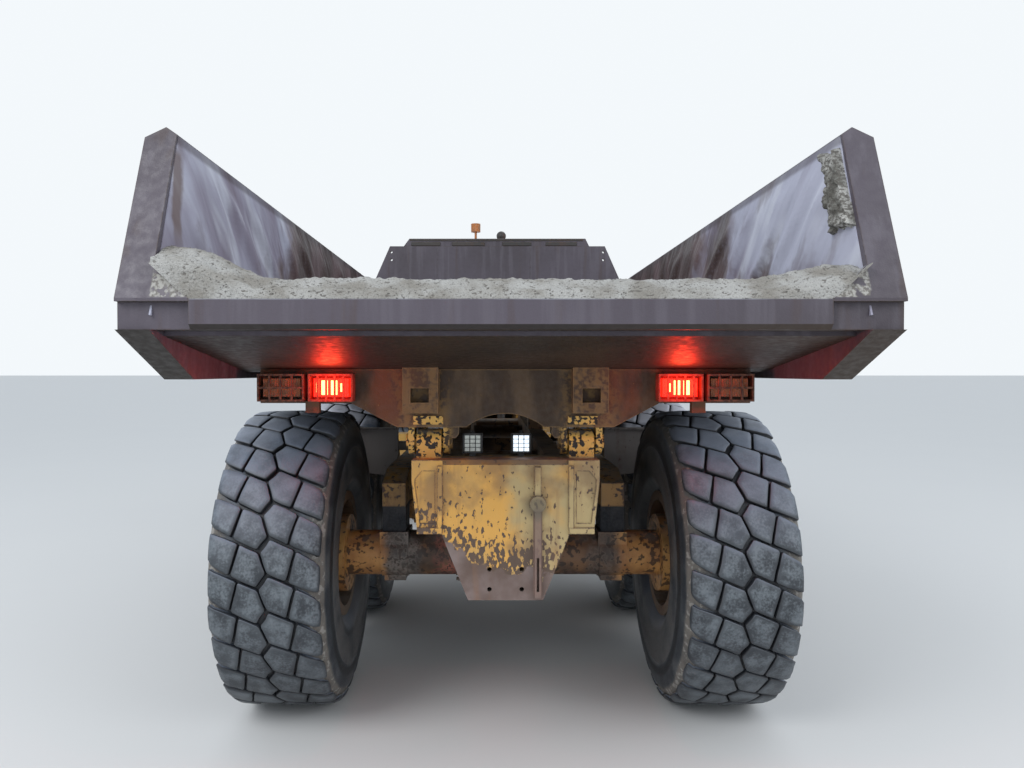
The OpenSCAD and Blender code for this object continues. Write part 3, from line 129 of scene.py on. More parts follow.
class Recipe(Nodes):
    """One material, and the colour that has been laid on it so far."""

    def __init__(self, name):
        self.name = name
        self.material = bpy.data.materials.new(name)
        super().__init__(self.material)
        self.shader = self.node("ShaderNodeBsdfPrincipled")
        self.node("ShaderNodeOutputMaterial", {0: self.shader.outputs[0]})
        coordinates = self.node("ShaderNodeTexCoord")
        self.place = coordinates.outputs["Object"]
        self.x, self.y, self.height = self.parts(self.place)
        self.facing_up = self.parts(coordinates.outputs["Normal"])[2]
        self.colour = None

    def value(self, kind, inputs=(), output=0, **settings):
        """What a new node gives."""
        return Value(self, self.node(kind, inputs, **settings).outputs[output])

    def parts(self, vector):
        made = self.node("ShaderNodeSeparateXYZ", {0: vector})
        return [Value(self, socket) for socket in made.outputs]

    def maths(self, operation, a, b=0.0):
        return self.value("ShaderNodeMath", {0: a, 1: b}, operation=operation)

    def noise(self, scale, detail=4, stretch=(1, 1, 1), lean=0.0):
        """Noise whose features can be stretched, or lean forwards as they fall."""
        place = self.place
        if lean:
            leaning = {0: self.x, 1: self.y + self.height * lean, 2: self.height}
            place = self.node("ShaderNodeCombineXYZ", leaning).outputs[0]
        if stretch != (1, 1, 1):
            place = self.node("ShaderNodeMapping", {"Vector": place, "Scale": stretch}).outputs[0]
        return self.value("ShaderNodeTexNoise", {"Vector": place, "Scale": scale, "Detail": detail})

    def wobble(self, scale, detail, size):
        """Noise about nought."""
        return (self.noise(scale, detail) - 0.5) * size

    def spots(self, scale):
        return self.value("ShaderNodeTexVoronoi", {"Vector": self.place, "Scale": scale}, "Distance")

    def near(self, point, inner, outer):
        """1 round a point and round its mirror images, and 0 beyond the outer distance."""
        mirrored = self.node("ShaderNodeVectorMath", {0: self.place}, operation="ABSOLUTE")
        apart = {0: mirrored.outputs[0], 1: tuple(abs(v) for v in point)}
        distance = self.value("ShaderNodeVectorMath", apart, "Value", operation="DISTANCE")
        return distance.step(outer, inner)

    def edges(self, radius):
        """1 on sharp edges and 0 on flat faces."""
        bevel = self.node("ShaderNodeBevel", {"Radius": radius}, samples=4)
        geometry = self.node("ShaderNodeNewGeometry")
        normals = {0: bevel.outputs[0], 1: geometry.outputs["Normal"]}
        product = self.value("ShaderNodeVectorMath", normals, "Value", operation="DOT_PRODUCT")
        return product.step(0.98, 0.8)

    def worn(self, radius, share, grain, low, high):
        """1 where an edge is worn through, raggedly by the grain."""
        return (self.edges(radius) * share + grain * 0.8).step(low, high)

    def chips(self, grain, share):
        """1 where the paint has chipped off."""
        return (grain * 0.62 + self.noise(9, 6) * 0.45).step(0.7 - 0.2 * share, 0.73 - 0.2 * share)

    def tops(self, low, high):
        """1 in patches on the faces that look up, where dust settles."""
        return self.facing_up.step(0.45, 0.95) * self.noise(12, 6).step(low, high)

    def painted_dirt_and_shade(self):
        """The dirt and painted shade that a Mesh carries from point to point."""
        return self.value("ShaderNodeAttribute", output="Fac", attribute_name="dirt_and_shade")

    def mix(self, mask, a, b):
        return self.value("ShaderNodeMix", {"Factor": mask, 6: a, 7: b}, 2, data_type="RGBA")

    def coat(self, mask, colour):
        """Lays a colour on where the mask is 1."""
        self.colour = self.mix(mask, self.colour, colour)

    def finish(self, roughness, bumps=None, depth=0.0, **shader_values):
        shader_values.update(Base_Color=self.colour, Roughness=roughness)
        if bumps is not None:
            bump = self.node("ShaderNodeBump", {"Height": bumps, "Distance": depth, "Strength": 0.8})
            shader_values["Normal"] = bump.outputs[0]
        for key, value in shader_values.items():
            self.put(self.shader.inputs[key.replace("_", " ")], value)
        MATERIALS[self.name] = self.material


RUST = (0.105, 0.034, 0.014)
MUD = (0.155, 0.125, 0.095)
GREASE = (0.012, 0.009, 0.007)
DUST = (0.31, 0.29, 0.27)
RED_GLOW = (1.0, 0.01, 0.003)

# Columns: paint, its faded shade, what a chip bares,
# share of chips, rust, mud, grease, dust, metal, roughness
PAINTED = {
    "cab_paint": [(0.58, 0.33, 0.07), (0.46, 0.26, 0.07), (0.06, 0.034, 0.022),
                  0.1, 0.3, 0.7, 0.15, 0.5, 0.0, 0.42],
    "frame_paint": [(0.5, 0.28, 0.06), (0.34, 0.18, 0.05), (0.05, 0.028, 0.018),
                    0.6, 0.55, 0.75, 0.45, 0.5, 0.0, 0.55],
    "rim_paint": [(0.2, 0.105, 0.05), (0.115, 0.066, 0.038), (0.045, 0.024, 0.016),
                  0.45, 0.7, 0.8, 0.55, 0.5, 0.0, 0.6],
    "rail_paint": [(0.19, 0.105, 0.045), (0.09, 0.05, 0.026), (0.03, 0.02, 0.014),
                   0.55, 0.5, 0.6, 0.8, 0.4, 0.0, 0.6],
    "grey_steel": [(0.21, 0.19, 0.182), (0.15, 0.134, 0.128), (0.07, 0.052, 0.044),
                   0.25, 0.3, 0.4, 0.25, 0.9, 0.0, 0.6],
    "bare_steel": [(0.1, 0.08, 0.062), (0.06, 0.05, 0.04), (0.04, 0.022, 0.014),
                   0.4, 0.6, 0.6, 0.6, 0.3, 0.5, 0.45],
    "black_steel": [(0.03, 0.027, 0.025), (0.05, 0.04, 0.035), (0.06, 0.03, 0.018),
                    0.3, 0.4, 0.3, 0.3, 0.4, 0.0, 0.55],
    "engine_iron": [(0.07, 0.072, 0.074), (0.05, 0.05, 0.05), (0.04, 0.026, 0.02),
                    0.25, 0.4, 0.5, 0.7, 0.2, 0.3, 0.5],
    "black_plastic": [(0.028, 0.028, 0.03), (0.05, 0.05, 0.05), (0.06, 0.06, 0.06),
                      0.15, 0.0, 0.6, 0.1, 0.7, 0.0, 0.62],
}


def painted_metal(name):
    paint, faded, bare, chips, rust, mud, grease, dust, metal, roughness = PAINTED[name]
    r = Recipe(name)
    grain = r.noise(38, 8)
    r.colour = r.mix(r.noise(1.6, 5).step(0.35, 0.7), paint, faded)
    bared = r.chips(grain, chips).most(r.worn(0.014, 0.45 * chips + 0.1, grain, 0.55, 0.62))
    r.coat(bared, bare)
    r.coat(r.noise(5, 5, (3.2, 3.2, 0.35)).step(0.52, 0.72) * grain.step(0.3, 0.6) * rust, RUST)
    r.coat(r.noise(3.1, 6).step(0.5, 0.72) * grease, GREASE)
    muddy = r.noise(7, 7).step(0.42, 0.62) * r.height.step(1.35, 0.55) * mud
    r.coat(muddy, MUD)
    r.coat(r.tops(0.3, 0.62) * dust, DUST)
    rough = (grain * 0.6 + muddy * 0.5).step(0.1, 1.0, (roughness - 0.1, roughness + 0.25))
    r.finish(rough, r.noise(190, 3) * 0.25 - bared * 0.35, 0.003, Metallic=metal)


def tail_steel():
    """The frame's tail: golden paint that chips away downwards to bare brown-grey steel."""
    boss = (0.152, -4.22, 0.99)
    pin_hole = (0.145, -4.22, 1.2)
    r = Recipe("tail_steel")
    flecks = r.noise(58, 8, (1, 1, 0.6))
    left_to_right = (r.x + r.wobble(4, 5, 0.5)).step(-0.02, 0.1)
    r.colour = r.mix(left_to_right, (0.72, 0.385, 0.085), (0.47, 0.355, 0.17))
    r.coat(r.noise(3.1, 5).step(0.5, 0.66), (0.6, 0.35, 0.105))
    r.coat(r.noise(4.7, 7).step(0.52, 0.68) * 0.65, (0.225, 0.135, 0.068))
    line = r.height + r.x.least(0.0) * 0.42
    bare = (line + r.wobble(13, 7, 0.2)).step(0.905, 0.89)
    density = line.step(1.17, 0.93, (0.0, 0.17)) + r.wobble(7, 4, 0.22)
    chip = (flecks + density).step(0.64, 0.655)
    bared = chip.most(r.worn(0.01, 0.3, flecks, 0.58, 0.64)).most(bare)
    steel = r.mix(r.noise(5, 6).step(0.36, 0.64), (0.235, 0.178, 0.165), (0.13, 0.085, 0.068))
    r.coat(bared, r.mix(bare, (0.11, 0.072, 0.052), steel))
    rib = r.near(boss, 0.14, 0.25).step(0.1, 0.5) * abs(r.x - boss[0]).step(0.024, 0.019)
    r.coat(rib * 0.85, (0.215, 0.14, 0.115))
    greased = r.near(pin_hole, 0.035, 0.085) * r.x.step(0.0, 0.02)
    r.coat(greased * 0.75, (0.13, 0.11, 0.078))
    r.coat(r.noise(7, 5, (2.5, 2.5, 0.3)).step(0.53, 0.7) * 0.4, (0.24, 0.12, 0.06))
    lug_chip = (r.noise(48, 7) + r.noise(19, 4) * 0.3).step(0.66, 0.68)
    lug = r.mix(lug_chip, (0.74, 0.43, 0.1), (0.018, 0.013, 0.01))
    r.coat(r.height.step(1.425, 1.435) * r.y.step(-3.9, -3.94), lug)
    r.coat(r.tops(0.28, 0.55) * 0.85, (0.165, 0.15, 0.135))
    r.finish(flecks.step(0.2, 0.8, (0.42, 0.75)), r.noise(190, 3) * 0.25 - bared * 0.4, 0.003)


def bolster_steel():
    """The bolster: streaked brown darkened by painted shade, its ends reddened by a painted glow of the
    red tail lamps, ochre round the hinges, and chipped yellow on the clevises.
    """
    r = Recipe("bolster_steel")
    flecks = r.noise(45, 8)
    off_centre = abs(r.x)
    streaks = r.noise(11, 8, (1, 1, 0.45))
    # Painted light and shade: the red-brown of the ends is partly a painted glow of the red tail lamps,
    # and both browns are darkened as painted shade under the bed.
    outer = r.mix(streaks.step(0.38, 0.64), (0.115, 0.046, 0.018), (0.046, 0.024, 0.013))
    centre = r.mix(streaks.step(0.4, 0.66), (0.05, 0.028, 0.015), (0.105, 0.064, 0.034))
    r.colour = r.mix(off_centre.step(0.28, 0.55), centre, outer)
    hinges = off_centre.band(0.24, 0.31, 0.6, 0.47)
    ochre = (streaks * 0.5 + flecks * 0.5).step(0.42, 0.56) * hinges
    r.coat(ochre * 0.85, (0.215, 0.125, 0.048))
    r.coat(r.worn(0.01, 0.35, flecks, 0.56, 0.63) * off_centre.step(0.9, 0.5), (0.245, 0.145, 0.058))
    chip = (flecks + r.noise(16, 4) * 0.3).step(0.65, 0.675)
    yellow = r.mix(chip, (0.66, 0.385, 0.095), (0.022, 0.015, 0.011))
    bars = r.y.step(-4.12, -4.124) * r.height.step(1.636, 1.632)
    clevises = r.height.step(1.574, 1.568) * hinges
    r.coat(clevises.most(bars), yellow)
    r.finish(flecks.step(0.2, 0.8, (0.5, 0.8)), r.noise(170, 3) * 0.25 + flecks * 0.3, 0.004)


def axle_steel():
    """An axle: ochre ends, greasy grey castings beside the springs and a rusty middle."""
    r = Recipe("axle_steel")
    grain = r.noise(38, 8)
    off_centre = abs(r.x) + r.wobble(9, 6, 0.1)
    ochre = r.mix(r.noise(7, 6).step(0.38, 0.64), (0.52, 0.27, 0.085), (0.33, 0.15, 0.05))
    middle = r.mix(r.noise(6, 6).step(0.38, 0.62), (0.17, 0.085, 0.036), (0.062, 0.036, 0.022))
    casting = r.mix(grain.step(0.38, 0.62), (0.055, 0.046, 0.04), (0.19, 0.165, 0.145))
    r.colour = r.mix(off_centre.step(0.6, 0.66), middle, ochre)
    r.coat(off_centre.band(0.44, 0.48, 0.68, 0.63) * r.x.step(0.1, -0.1, (0.35, 0.9)), casting)
    red = r.x.band(-0.42, -0.37, -0.2, -0.26) * grain.step(0.42, 0.56)
    r.coat(red * 0.75, (0.36, 0.11, 0.075))
    r.coat(r.chips(grain, 0.7) * 0.85, (0.034, 0.023, 0.017))
    r.coat(r.noise(3.1, 6).step(0.52, 0.72) * 0.75, GREASE)
    r.coat(r.tops(0.34, 0.62) * 0.4, DUST)
    r.finish(grain.step(0.2, 0.8, (0.36, 0.7)), grain, 0.004)


def cage_steel():
    """The lamps' cages: rusty bars that glow red near the lit lamp, a painted glow of its light."""
    lit_lamp = (0.825, -4.185, 1.766)
    r = Recipe("cage_steel")
    grain = r.noise(70, 6)
    r.colour = r.mix(grain.step(0.4, 0.62), (0.13, 0.05, 0.022), (0.045, 0.022, 0.014))
    # Painted glow: the bars emit red light close to the lit lamp.
    glow = r.near(lit_lamp, 0.075, 0.15) * grain.step(0.3, 0.6, (0.6, 1.0))
    r.finish(grain.step(0.3, 0.7, (0.5, 0.75)), grain, 0.002,
             Emission_Color=RED_GLOW, Emission_Strength=glow * 0.3)


def bed_paint():
    """Worn purple-grey steel, with a little rust, frosted tops and a dark brown underside of rust and
    painted shade.
    """
    r = Recipe("bed_paint")
    patches = r.noise(1.1, 6)
    grain = r.noise(34, 8)
    r.colour = r.mix(patches.step(0.36, 0.68), (0.08, 0.067, 0.086), (0.052, 0.042, 0.052))
    r.coat(r.noise(7, 6, (3, 3, 0.22)).step(0.46, 0.66) * 0.35, (0.125, 0.112, 0.135))
    r.coat(r.noise(4.5, 6, (3, 3, 0.3)).step(0.55, 0.72) * 0.45, (0.058, 0.034, 0.028))
    edge = r.worn(0.01, 0.3, grain, 0.58, 0.66)
    r.coat(edge, (0.06, 0.04, 0.036))
    corner = abs(r.x).band(1.272, 1.262, 1.13, 1.15) * r.height.band(2.1, 2.106, 2.26, 2.24)
    ragged = r.y.step(-5.0, -5.05) * (grain + r.wobble(11, 5, 0.4)).step(0.42, 0.52)
    gritty = r.mix(r.noise(80, 8).step(0.42, 0.6), (0.34, 0.33, 0.305), (0.13, 0.118, 0.105))
    r.coat(corner * ragged, gritty)
    # Painted shade: faces that look down are coated dark rusty brown, darker than the rust alone.
    rust_and_shade_below = r.mix(patches.step(0.4, 0.62), (0.013, 0.008, 0.005), (0.036, 0.021, 0.012))
    r.coat(r.facing_up.step(-0.2, -0.8), rust_and_shade_below)
    drift = r.noise(2.4, 8) * 0.65 + r.noise(24, 8) * 0.35
    off_the_lip = r.height.step(2.05, 2.09).most(r.y.step(-5.02, -4.95))
    frosted = r.facing_up.step(0.5, 0.85) * drift.step(0.36, 0.6) * off_the_lip * 0.8
    r.coat(frosted, (0.3, 0.32, 0.37))
    r.finish(grain.step(0.2, 0.8, (0.4, 0.68)), r.noise(160, 4) * 0.3 - edge * 0.3, 0.003)


def frosted_bed():
    """The walls' inner faces: soft folds of lilac frost behind, partly painted shade in their hollows,
    rusty brown steel low down and ahead, and a painted shadow under the top rail.
    """
    r = Recipe("frosted_bed")
    grain = r.noise(70, 8)
    brown = r.noise(3.0, 6, (1, 1, 0.4)).step(0.38, 0.62)
    r.colour = r.mix(brown, (0.125, 0.08, 0.08), (0.052, 0.03, 0.025))
    folds = r.noise(2.6, 3, (1, 1, 0.55), lean=0.8)
    # The frost is paler on the folds' crests and darker in their hollows, following their bumps: partly
    # the frost's own tone, partly painted shade.
    pale = r.mix(folds.step(0.36, 0.62), (0.235, 0.212, 0.275), (0.43, 0.44, 0.54))
    bright = r.noise(3.6, 3, (1, 1, 0.5), lean=1.0).step(0.54, 0.7)
    pale = r.mix(bright * 0.7, pale, (0.58, 0.6, 0.68))
    smudge = r.noise(4.2, 6, (1, 1, 0.7), lean=0.6).step(0.55, 0.68)
    pale = r.mix(smudge * 0.45, pale, (0.12, 0.086, 0.092))
    back = (r.y + r.wobble(1.9, 5, 1.9)).step(-2.7, -3.7)
    low = (r.height + r.wobble(3.1, 5, 0.8)).step(2.46, 2.08) * r.y.step(-4.62, -4.2) * 0.85
    cover = (back * (1.0 - low) + r.wobble(16, 8, 0.3)).step(0.25, 0.85)
    cover = (cover * 0.94).most(grain.step(0.56, 0.66) * 0.2)
    r.coat(cover, pale)
    track = (r.y + r.wobble(9, 5, 0.09)).band(-4.815, -4.85, -4.925, -4.895)
    run = track * r.x.step(-1.0, -1.1) * r.height.band(2.26, 2.42, 2.72, 2.66)
    r.coat(run * 0.75, (0.13, 0.082, 0.064))
    # Painted shadow: a dark band just under the top rail.
    r.coat(r.height.step(2.7, 2.722) * 0.55, (0.06, 0.045, 0.046))
    bumps = folds + r.noise(4.2, 3, (1, 1, 0.5), lean=1.0) * 0.7 + grain * 0.02
    r.finish(cover.step(0.0, 0.8, (0.5, 0.85)), bumps, 0.06)


def grit(name, pale, grey, dark_share):
    """A frozen crust of grit with dark stones and cracks."""
    r = Recipe(name)
    grain = r.noise(120, 8)
    bands = r.noise(78, 8, (0.7, 0.8, 1.3))
    r.colour = r.mix(r.noise(7, 8).step(0.36, 0.62), grey, pale)
    r.coat(bands.step(0.64 - 0.16 * dark_share, 0.69 - 0.14 * dark_share) * 0.8, (0.11, 0.1, 0.088))
    stones = r.spots(70).step(0.3, 0.14) * r.noise(23, 2).step(0.5, 0.58)
    r.coat(stones * 0.8, (0.055, 0.05, 0.046))
    r.coat(r.noise(210, 6).step(0.56, 0.64) * 0.45, (0.1, 0.09, 0.08))
    r.finish(grain.step(0, 1, (0.84, 0.98)), bands * -0.7 + grain * 0.6, 0.018)


def tyre_rubber(name, snow_share):
    """Worn blue-grey rubber: dusty block faces with a painted sky reflection where they look up,
    near-black grooves of painted shade, and tan dirt at the shoulders.
    """
    r = Recipe(name)
    grain = r.noise(90, 8)
    dirt_and_shade = r.painted_dirt_and_shade()
    patches = r.noise(6.5, 6)
    r.colour = r.mix(patches.step(0.35, 0.68), (0.026, 0.031, 0.038), (0.062, 0.072, 0.083))
    mottle = (r.noise(13, 8) * 0.55 + grain * 0.45).step(0.4, 0.64)
    face = mottle * dirt_and_shade.step(-0.05, -0.85) * r.height.step(0.15, 1.05, (0.45, 0.8))
    r.coat(face, (0.165, 0.19, 0.212))
    # Painted sky reflection: faces that look up are coated a paler blue.
    painted_sky_reflection = r.facing_up.step(0.1, 0.75) * patches.step(0.25, 0.6, (0.55, 1.0)) * 0.8
    r.coat(painted_sky_reflection, (0.18, 0.212, 0.275))
    wall = dirt_and_shade.band(0.01, 0.022, 0.06, 0.045) * patches.step(0.3, 0.6)
    r.coat(wall * 0.65, (0.098, 0.09, 0.084))
    # Painted shade: the grooves' walls and floors are coated near-black, darker than the rubber.
    r.coat(dirt_and_shade.band(0.04, 0.22, 0.66, 0.44) * 0.9, (0.012, 0.013, 0.016))
    caked = (dirt_and_shade * 0.66 + patches * 0.45).step(0.62, 0.88) * grain.step(0.25, 0.6, (0.6, 1.0))
    r.coat(caked, (0.15, 0.136, 0.12))
    r.coat(r.noise(33, 6).step(0.54, 0.62) * caked.step(0.4, 0.8) * 0.65, (0.33, 0.315, 0.295))
    snowy = (r.height + r.wobble(7, 7, 0.35)).step(1.44, 1.52) * dirt_and_shade.step(0.3, 0.05)
    r.coat(snowy * snow_share, (0.56, 0.57, 0.64))
    rough = (grain * 0.5 + caked * 0.5).step(0.1, 0.9, (0.46, 0.92))
    r.finish(rough, grain * 0.45 + r.noise(240, 3) * 0.25, 0.004)


def rubber():
    r = Recipe("rubber")
    grain = r.noise(70, 7)
    r.colour = r.mix(r.noise(6, 5).step(0.4, 0.68), (0.006, 0.009, 0.014), (0.036, 0.037, 0.041))
    r.finish(grain.step(0.2, 0.8, (0.55, 0.85)), grain, 0.002)


def chrome():
    r = Recipe("rod_chrome")
    wiped = r.noise(14, 5, (1, 0.3, 1))
    r.colour = r.mix(wiped.step(0.45, 0.7), (0.62, 0.62, 0.63), (0.2, 0.16, 0.12))
    r.finish(wiped.step(0.4, 0.7, (0.16, 0.45)), r.noise(150), 0.0004, Metallic=1.0)


def lens(name, tint, glow, strength, ribs):
    """A moulded lens, dusty at its rim. A lit one glows unevenly behind its ribs."""
    r = Recipe(name)
    dusty = r.noise(26, 6).step(0.46, 0.66)
    r.colour = r.mix(dusty * 0.45, tint, (0.2, 0.16, 0.12))
    wave = r.value("ShaderNodeTexWave", {"Vector": r.place, "Scale": ribs}, "Fac", bands_direction="X")
    lit = 0.0
    if strength:
        lit = wave.step(0, 1, (0.55 * strength, strength)) * r.noise(18, 3).step(0.25, 0.7, (0.6, 1.0))
    r.finish(dusty.step(0, 1, (0.22, 0.6)), wave, 0.002, Emission_Color=glow, Emission_Strength=lit)


def hot_lens(name, tint, glow, strength):
    """A small emitter inside a lamp."""
    r = Recipe(name)
    r.colour = r.mix(r.noise(60, 4).step(0.4, 0.7), tint, tuple(0.6 * v for v in tint))
    flicker = r.noise(90, 3).step(0.2, 0.8, (0.7 * strength, strength))
    r.finish(r.noise(120).step(0, 1, (0.2, 0.35)), r.noise(120), 0.0006,
             Emission_Color=glow, Emission_Strength=flicker)


def glass():
    r = Recipe("glass")
    smear = r.noise(7, 6, (1, 1, 0.4)).step(0.54, 0.8)
    r.colour = r.mix(smear, (0.72, 0.8, 0.8), (0.42, 0.41, 0.38))
    r.finish(smear.step(0, 1, (0.05, 0.42)), r.noise(40, 2), 0.0005,
             Transmission_Weight=smear.step(0, 1, (0.9, 0.55)), IOR=1.45)


def mirror_glass():
    r = Recipe("mirror_glass")
    dusty = r.noise(21, 6).step(0.44, 0.68)
    r.colour = r.mix(dusty, (0.72, 0.74, 0.76), (0.36, 0.35, 0.33))
    r.finish(dusty.step(0, 1, (0.06, 0.4)), r.noise(90, 2), 0.0003, Metallic=1.0)


def cloth():
    r = Recipe("seat_cloth")
    weave = r.noise(260, 3)
    r.colour = r.mix(r.noise(5, 6).step(0.4, 0.66), (0.03, 0.031, 0.036), (0.085, 0.08, 0.075))
    # Painted shade: the seat's sewn channels are coated near-black.
    r.coat(r.painted_dirt_and_shade().step(0.3, 0.9), (0.01, 0.01, 0.011))
    r.finish(weave.step(0.3, 0.7, (0.8, 0.95)), weave, 0.0015, Sheen_Weight=0.3)


def make_materials():
    for name in PAINTED:
        painted_metal(name)
    for finish in (tail_steel, bolster_steel, axle_steel, cage_steel, bed_paint, frosted_bed, rubber,
                   chrome, glass, mirror_glass, cloth):
        finish()
    grit("grit", (0.4, 0.395, 0.38), (0.25, 0.235, 0.21), 0.35)
    grit("rocky_grit", (0.58, 0.57, 0.54), (0.12, 0.115, 0.1), 1.0)
    tyre_rubber("tyre", 0.1)
    tyre_rubber("snowy_tyre", 0.92)
    lens("amber_lamp", (0.42, 0.13, 0.015), (1.0, 0.3, 0.02), 0.0, 30)
    lens("dark_amber", (0.36, 0.09, 0.016), (1.0, 0.15, 0.02), 0.0, 30)
    lens("red_lamp", (0.62, 0.012, 0.01), RED_GLOW, 5.0, 30)
    lens("clear_lamp", (0.62, 0.63, 0.64), (1.0, 1.0, 1.0), 0.0, 45)
    hot_lens("white_led", (0.6, 0.64, 0.7), (0.8, 0.9, 1.0), 1.3)
    hot_lens("dim_led", (0.52, 0.54, 0.5), (0.86, 0.93, 0.9), 0.14)
    hot_lens("warm_led", (0.8, 0.6, 0.3), (1.0, 0.66, 0.2), 3.4)


# Nodes whose finish differs from the rest of their slot
NODE_FINISH = {
    "frame_tail": "tail_steel", "bed_bolster": "bolster_steel", "lamp_cages": "cage_steel",
    "turn_lenses": "dark_amber", "cab_shell": "cab_paint", "cab_door": "cab_paint",
    "hood": "cab_paint", "tank": "cab_paint", "bumper": "cab_paint", "rear_rails": "rail_paint",
    "rear_axle": "axle_steel", "middle_axle": "axle_steel", "front_axle": "axle_steel",
}


def dress_cad_nodes():
    for part in frame["record"]["subparts"]:
        piece = frame["nodes"][part["node"]]
        piece.data.materials.clear()
        piece.data.materials.append(MATERIALS[NODE_FINISH.get(part["node"], part["material_slot"])])


# Mesh building

class Mesh:
    """Gathers shaped solids into one piece."""

    def __init__(self):
        self.points = []
        self.faces = []
        self.dirt_and_shade = []

    def add(self, points, faces, dirt_and_shade=0.0):
        first = len(self.points)
        self.points.extend(Vector(p) for p in points)
        self.faces.extend(tuple(first + i for i in face) for face in faces)
        self.dirt_and_shade.extend(dirt_and_shade if isinstance(dirt_and_shade, list) else [dirt_and_shade] * len(points))

    def rings(self, rings, closed=False, dirt_and_shade=0.0):
        """Skins rings of equally many points and caps both ends, or joins them if closed."""
        n = len(rings[0])
        faces = []
        pairs = len(rings) if closed else len(rings) - 1
        for i in range(pairs):
            j = (i + 1) % len(rings)
            for k in range(n):
                m = (k + 1) % n
                faces.append((i * n + k, i * n + m, j * n + m, j * n + k))
        if not closed:
            faces.append(tuple(reversed(range(n))))
            faces.append(tuple((len(rings) - 1) * n + k for k in range(n)))
        self.add([p for ring in rings for p in ring], faces, dirt_and_shade)

    def block(self, low, high, bevel=0.004, turn=None):
        """A block with bevelled edges, turned about its middle if asked."""
        low, high = Vector(low), Vector(high)
        middle, half = (low + high) / 2, (high - low) / 2
        bevel = min(bevel, *(0.9 * h for h in half))
        cut = bevel * 0.5

        def ring(z, inset):
            x, y = half.x - inset, half.y - inset
            right = [(x - bevel, -y), (x, -y + bevel), (x, y - bevel), (x - bevel, y)]
            return [Vector((cx, cy, z)) for cx, cy in right + [(-cx, -cy) for cx, cy in right]]

        levels = [ring(-half.z, cut), ring(-half.z + cut, 0), ring(half.z - cut, 0), ring(half.z, cut)]
        turn = turn or Matrix.Identity(3)
        self.rings([[middle + turn @ p for p in level] for level in levels])

    def slab(self, middle, size, bevel=0.004):
        """A block given by its middle and its size."""
        middle, half = Vector(middle), Vector(size) / 2
        self.block(middle - half, middle + half, bevel)

    def turned(self, start, axis, profile, n, closed=False):
        """A solid turned round an axis. The profile holds distance along the axis and radius."""
        axis = Vector(axis).normalized()
        side = axis.orthogonal().normalized()
        other = axis.cross(side)
        start = Vector(start)
        self.rings([circle(start + axis * reach, side, other, radius, n) for reach, radius in profile],
                   closed)

    def bolt(self, place, axis, size, height):
        """A hexagon head on its washer."""
        self.turned(place, axis, [(-0.002, size * 1.25), (0.003, size * 1.25), (0.004, size * 1.15)], 12)
        self.turned(Vector(place) + Vector(axis).normalized() * 0.003, axis,
                    [(0, size), (height * 0.8, size), (height, size * 0.82)], 6)

    def bolt_circle(self, middle, axis, count, radius, size, height, turn=0.0, flare=0.0):
        """Bolts round an axis that runs across the truck, turned by a share of their pitch."""
        for k in range(count):
            a = 2 * pi * (k + turn) / count
            spoke = Vector((0, cos(a), sin(a)))
            self.bolt(Vector(middle) + spoke * radius, axis + spoke * flare, size, height)

    def tube(self, path, radius, n=10):
        """A round tube along a smoothed path."""
        path = smooth_path([Vector(p) for p in path])
        rings = []
        normal = None
        for i, p in enumerate(path):
            forward = (path[min(i + 1, len(path) - 1)] - path[max(i - 1, 0)]).normalized()
            normal = normal - forward * normal.dot(forward) if normal else forward.orthogonal()
            normal = normal.normalized()
            rings.append(circle(p, normal, forward.cross(normal), radius, n))
        self.rings(rings)

    def make(self, name, body, slot, material=None, smooth=35):
        data = bpy.data.meshes.new(name)
        data.from_pydata([tuple(p) for p in self.points], [], self.faces)
        painted = data.attributes.new("dirt_and_shade", "FLOAT", "POINT")
        painted.data.foreach_set("value", self.dirt_and_shade)
        data.materials.append(MATERIALS[material or slot])
        piece = link(name, data)
        data.update()
        turn_faces_out(data)
        data.shade_smooth()
        data.set_sharp_from_angle(angle=radians(smooth))
        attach(piece, body)
        return piece


def link(name, data):
    """A new object in the scene."""
    made = bpy.data.objects.new(name, data)
    bpy.context.scene.collection.objects.link(made)
    return made


def circle(centre, side, other, radius, n):
    angles = (2 * pi * k / n for k in range(n))
    return [centre + (side * cos(a) + other * sin(a)) * radius for a in angles]


def turn_faces_out(data):
    work = bmesh.new()
    work.from_mesh(data)
    bmesh.ops.recalc_face_normals(work, faces=work.faces)
    work.to_mesh(data)
    work.free()


def smooth_path(path, rounds=2):
    for _ in range(rounds):
        cut = [path[0]]
        for a, b in zip(path, path[1:]):
            cut += [a * 0.75 + b * 0.25, a * 0.25 + b * 0.75]
        path = cut + [path[-1]]
    return path


def cut_corners(outline, share):
    """Cuts the corners of a closed outline by a share of each side."""
    return [tuple(a[i] * u + b[i] * (1 - u) for i in range(len(a)))
            for a, b in zip(outline, outline[1:] + outline[:1]) for u in (1 - share, share)]


def fade(value, low, high):
    t = min(max((value - low) / (high - low), 0.0), 1.0)
    return t * t * (3 - 2 * t)


# Wheels

AXLES = {"rear": "tyre", "middle": "snowy_tyre", "front": "tyre"}
RIM_RADIUS = 0.349
CARCASS_STEPS = 232
TREAD_PITCHES = 29
GROOVE = 0.026
SLANT = 0.44
BLOCK_WEAR = 0.004
BLOCK_CHANGE = 0.002
# The tread's surface from the crown to the side: distance in from the widest point, drop from the crown
CROWN_LINE = [(0.297, 0.0), (0.137, 0.0025), (0.062, 0.009), (0.036, 0.021), (0.024, 0.045),
              (0.014, 0.092), (0.004, 0.172)]
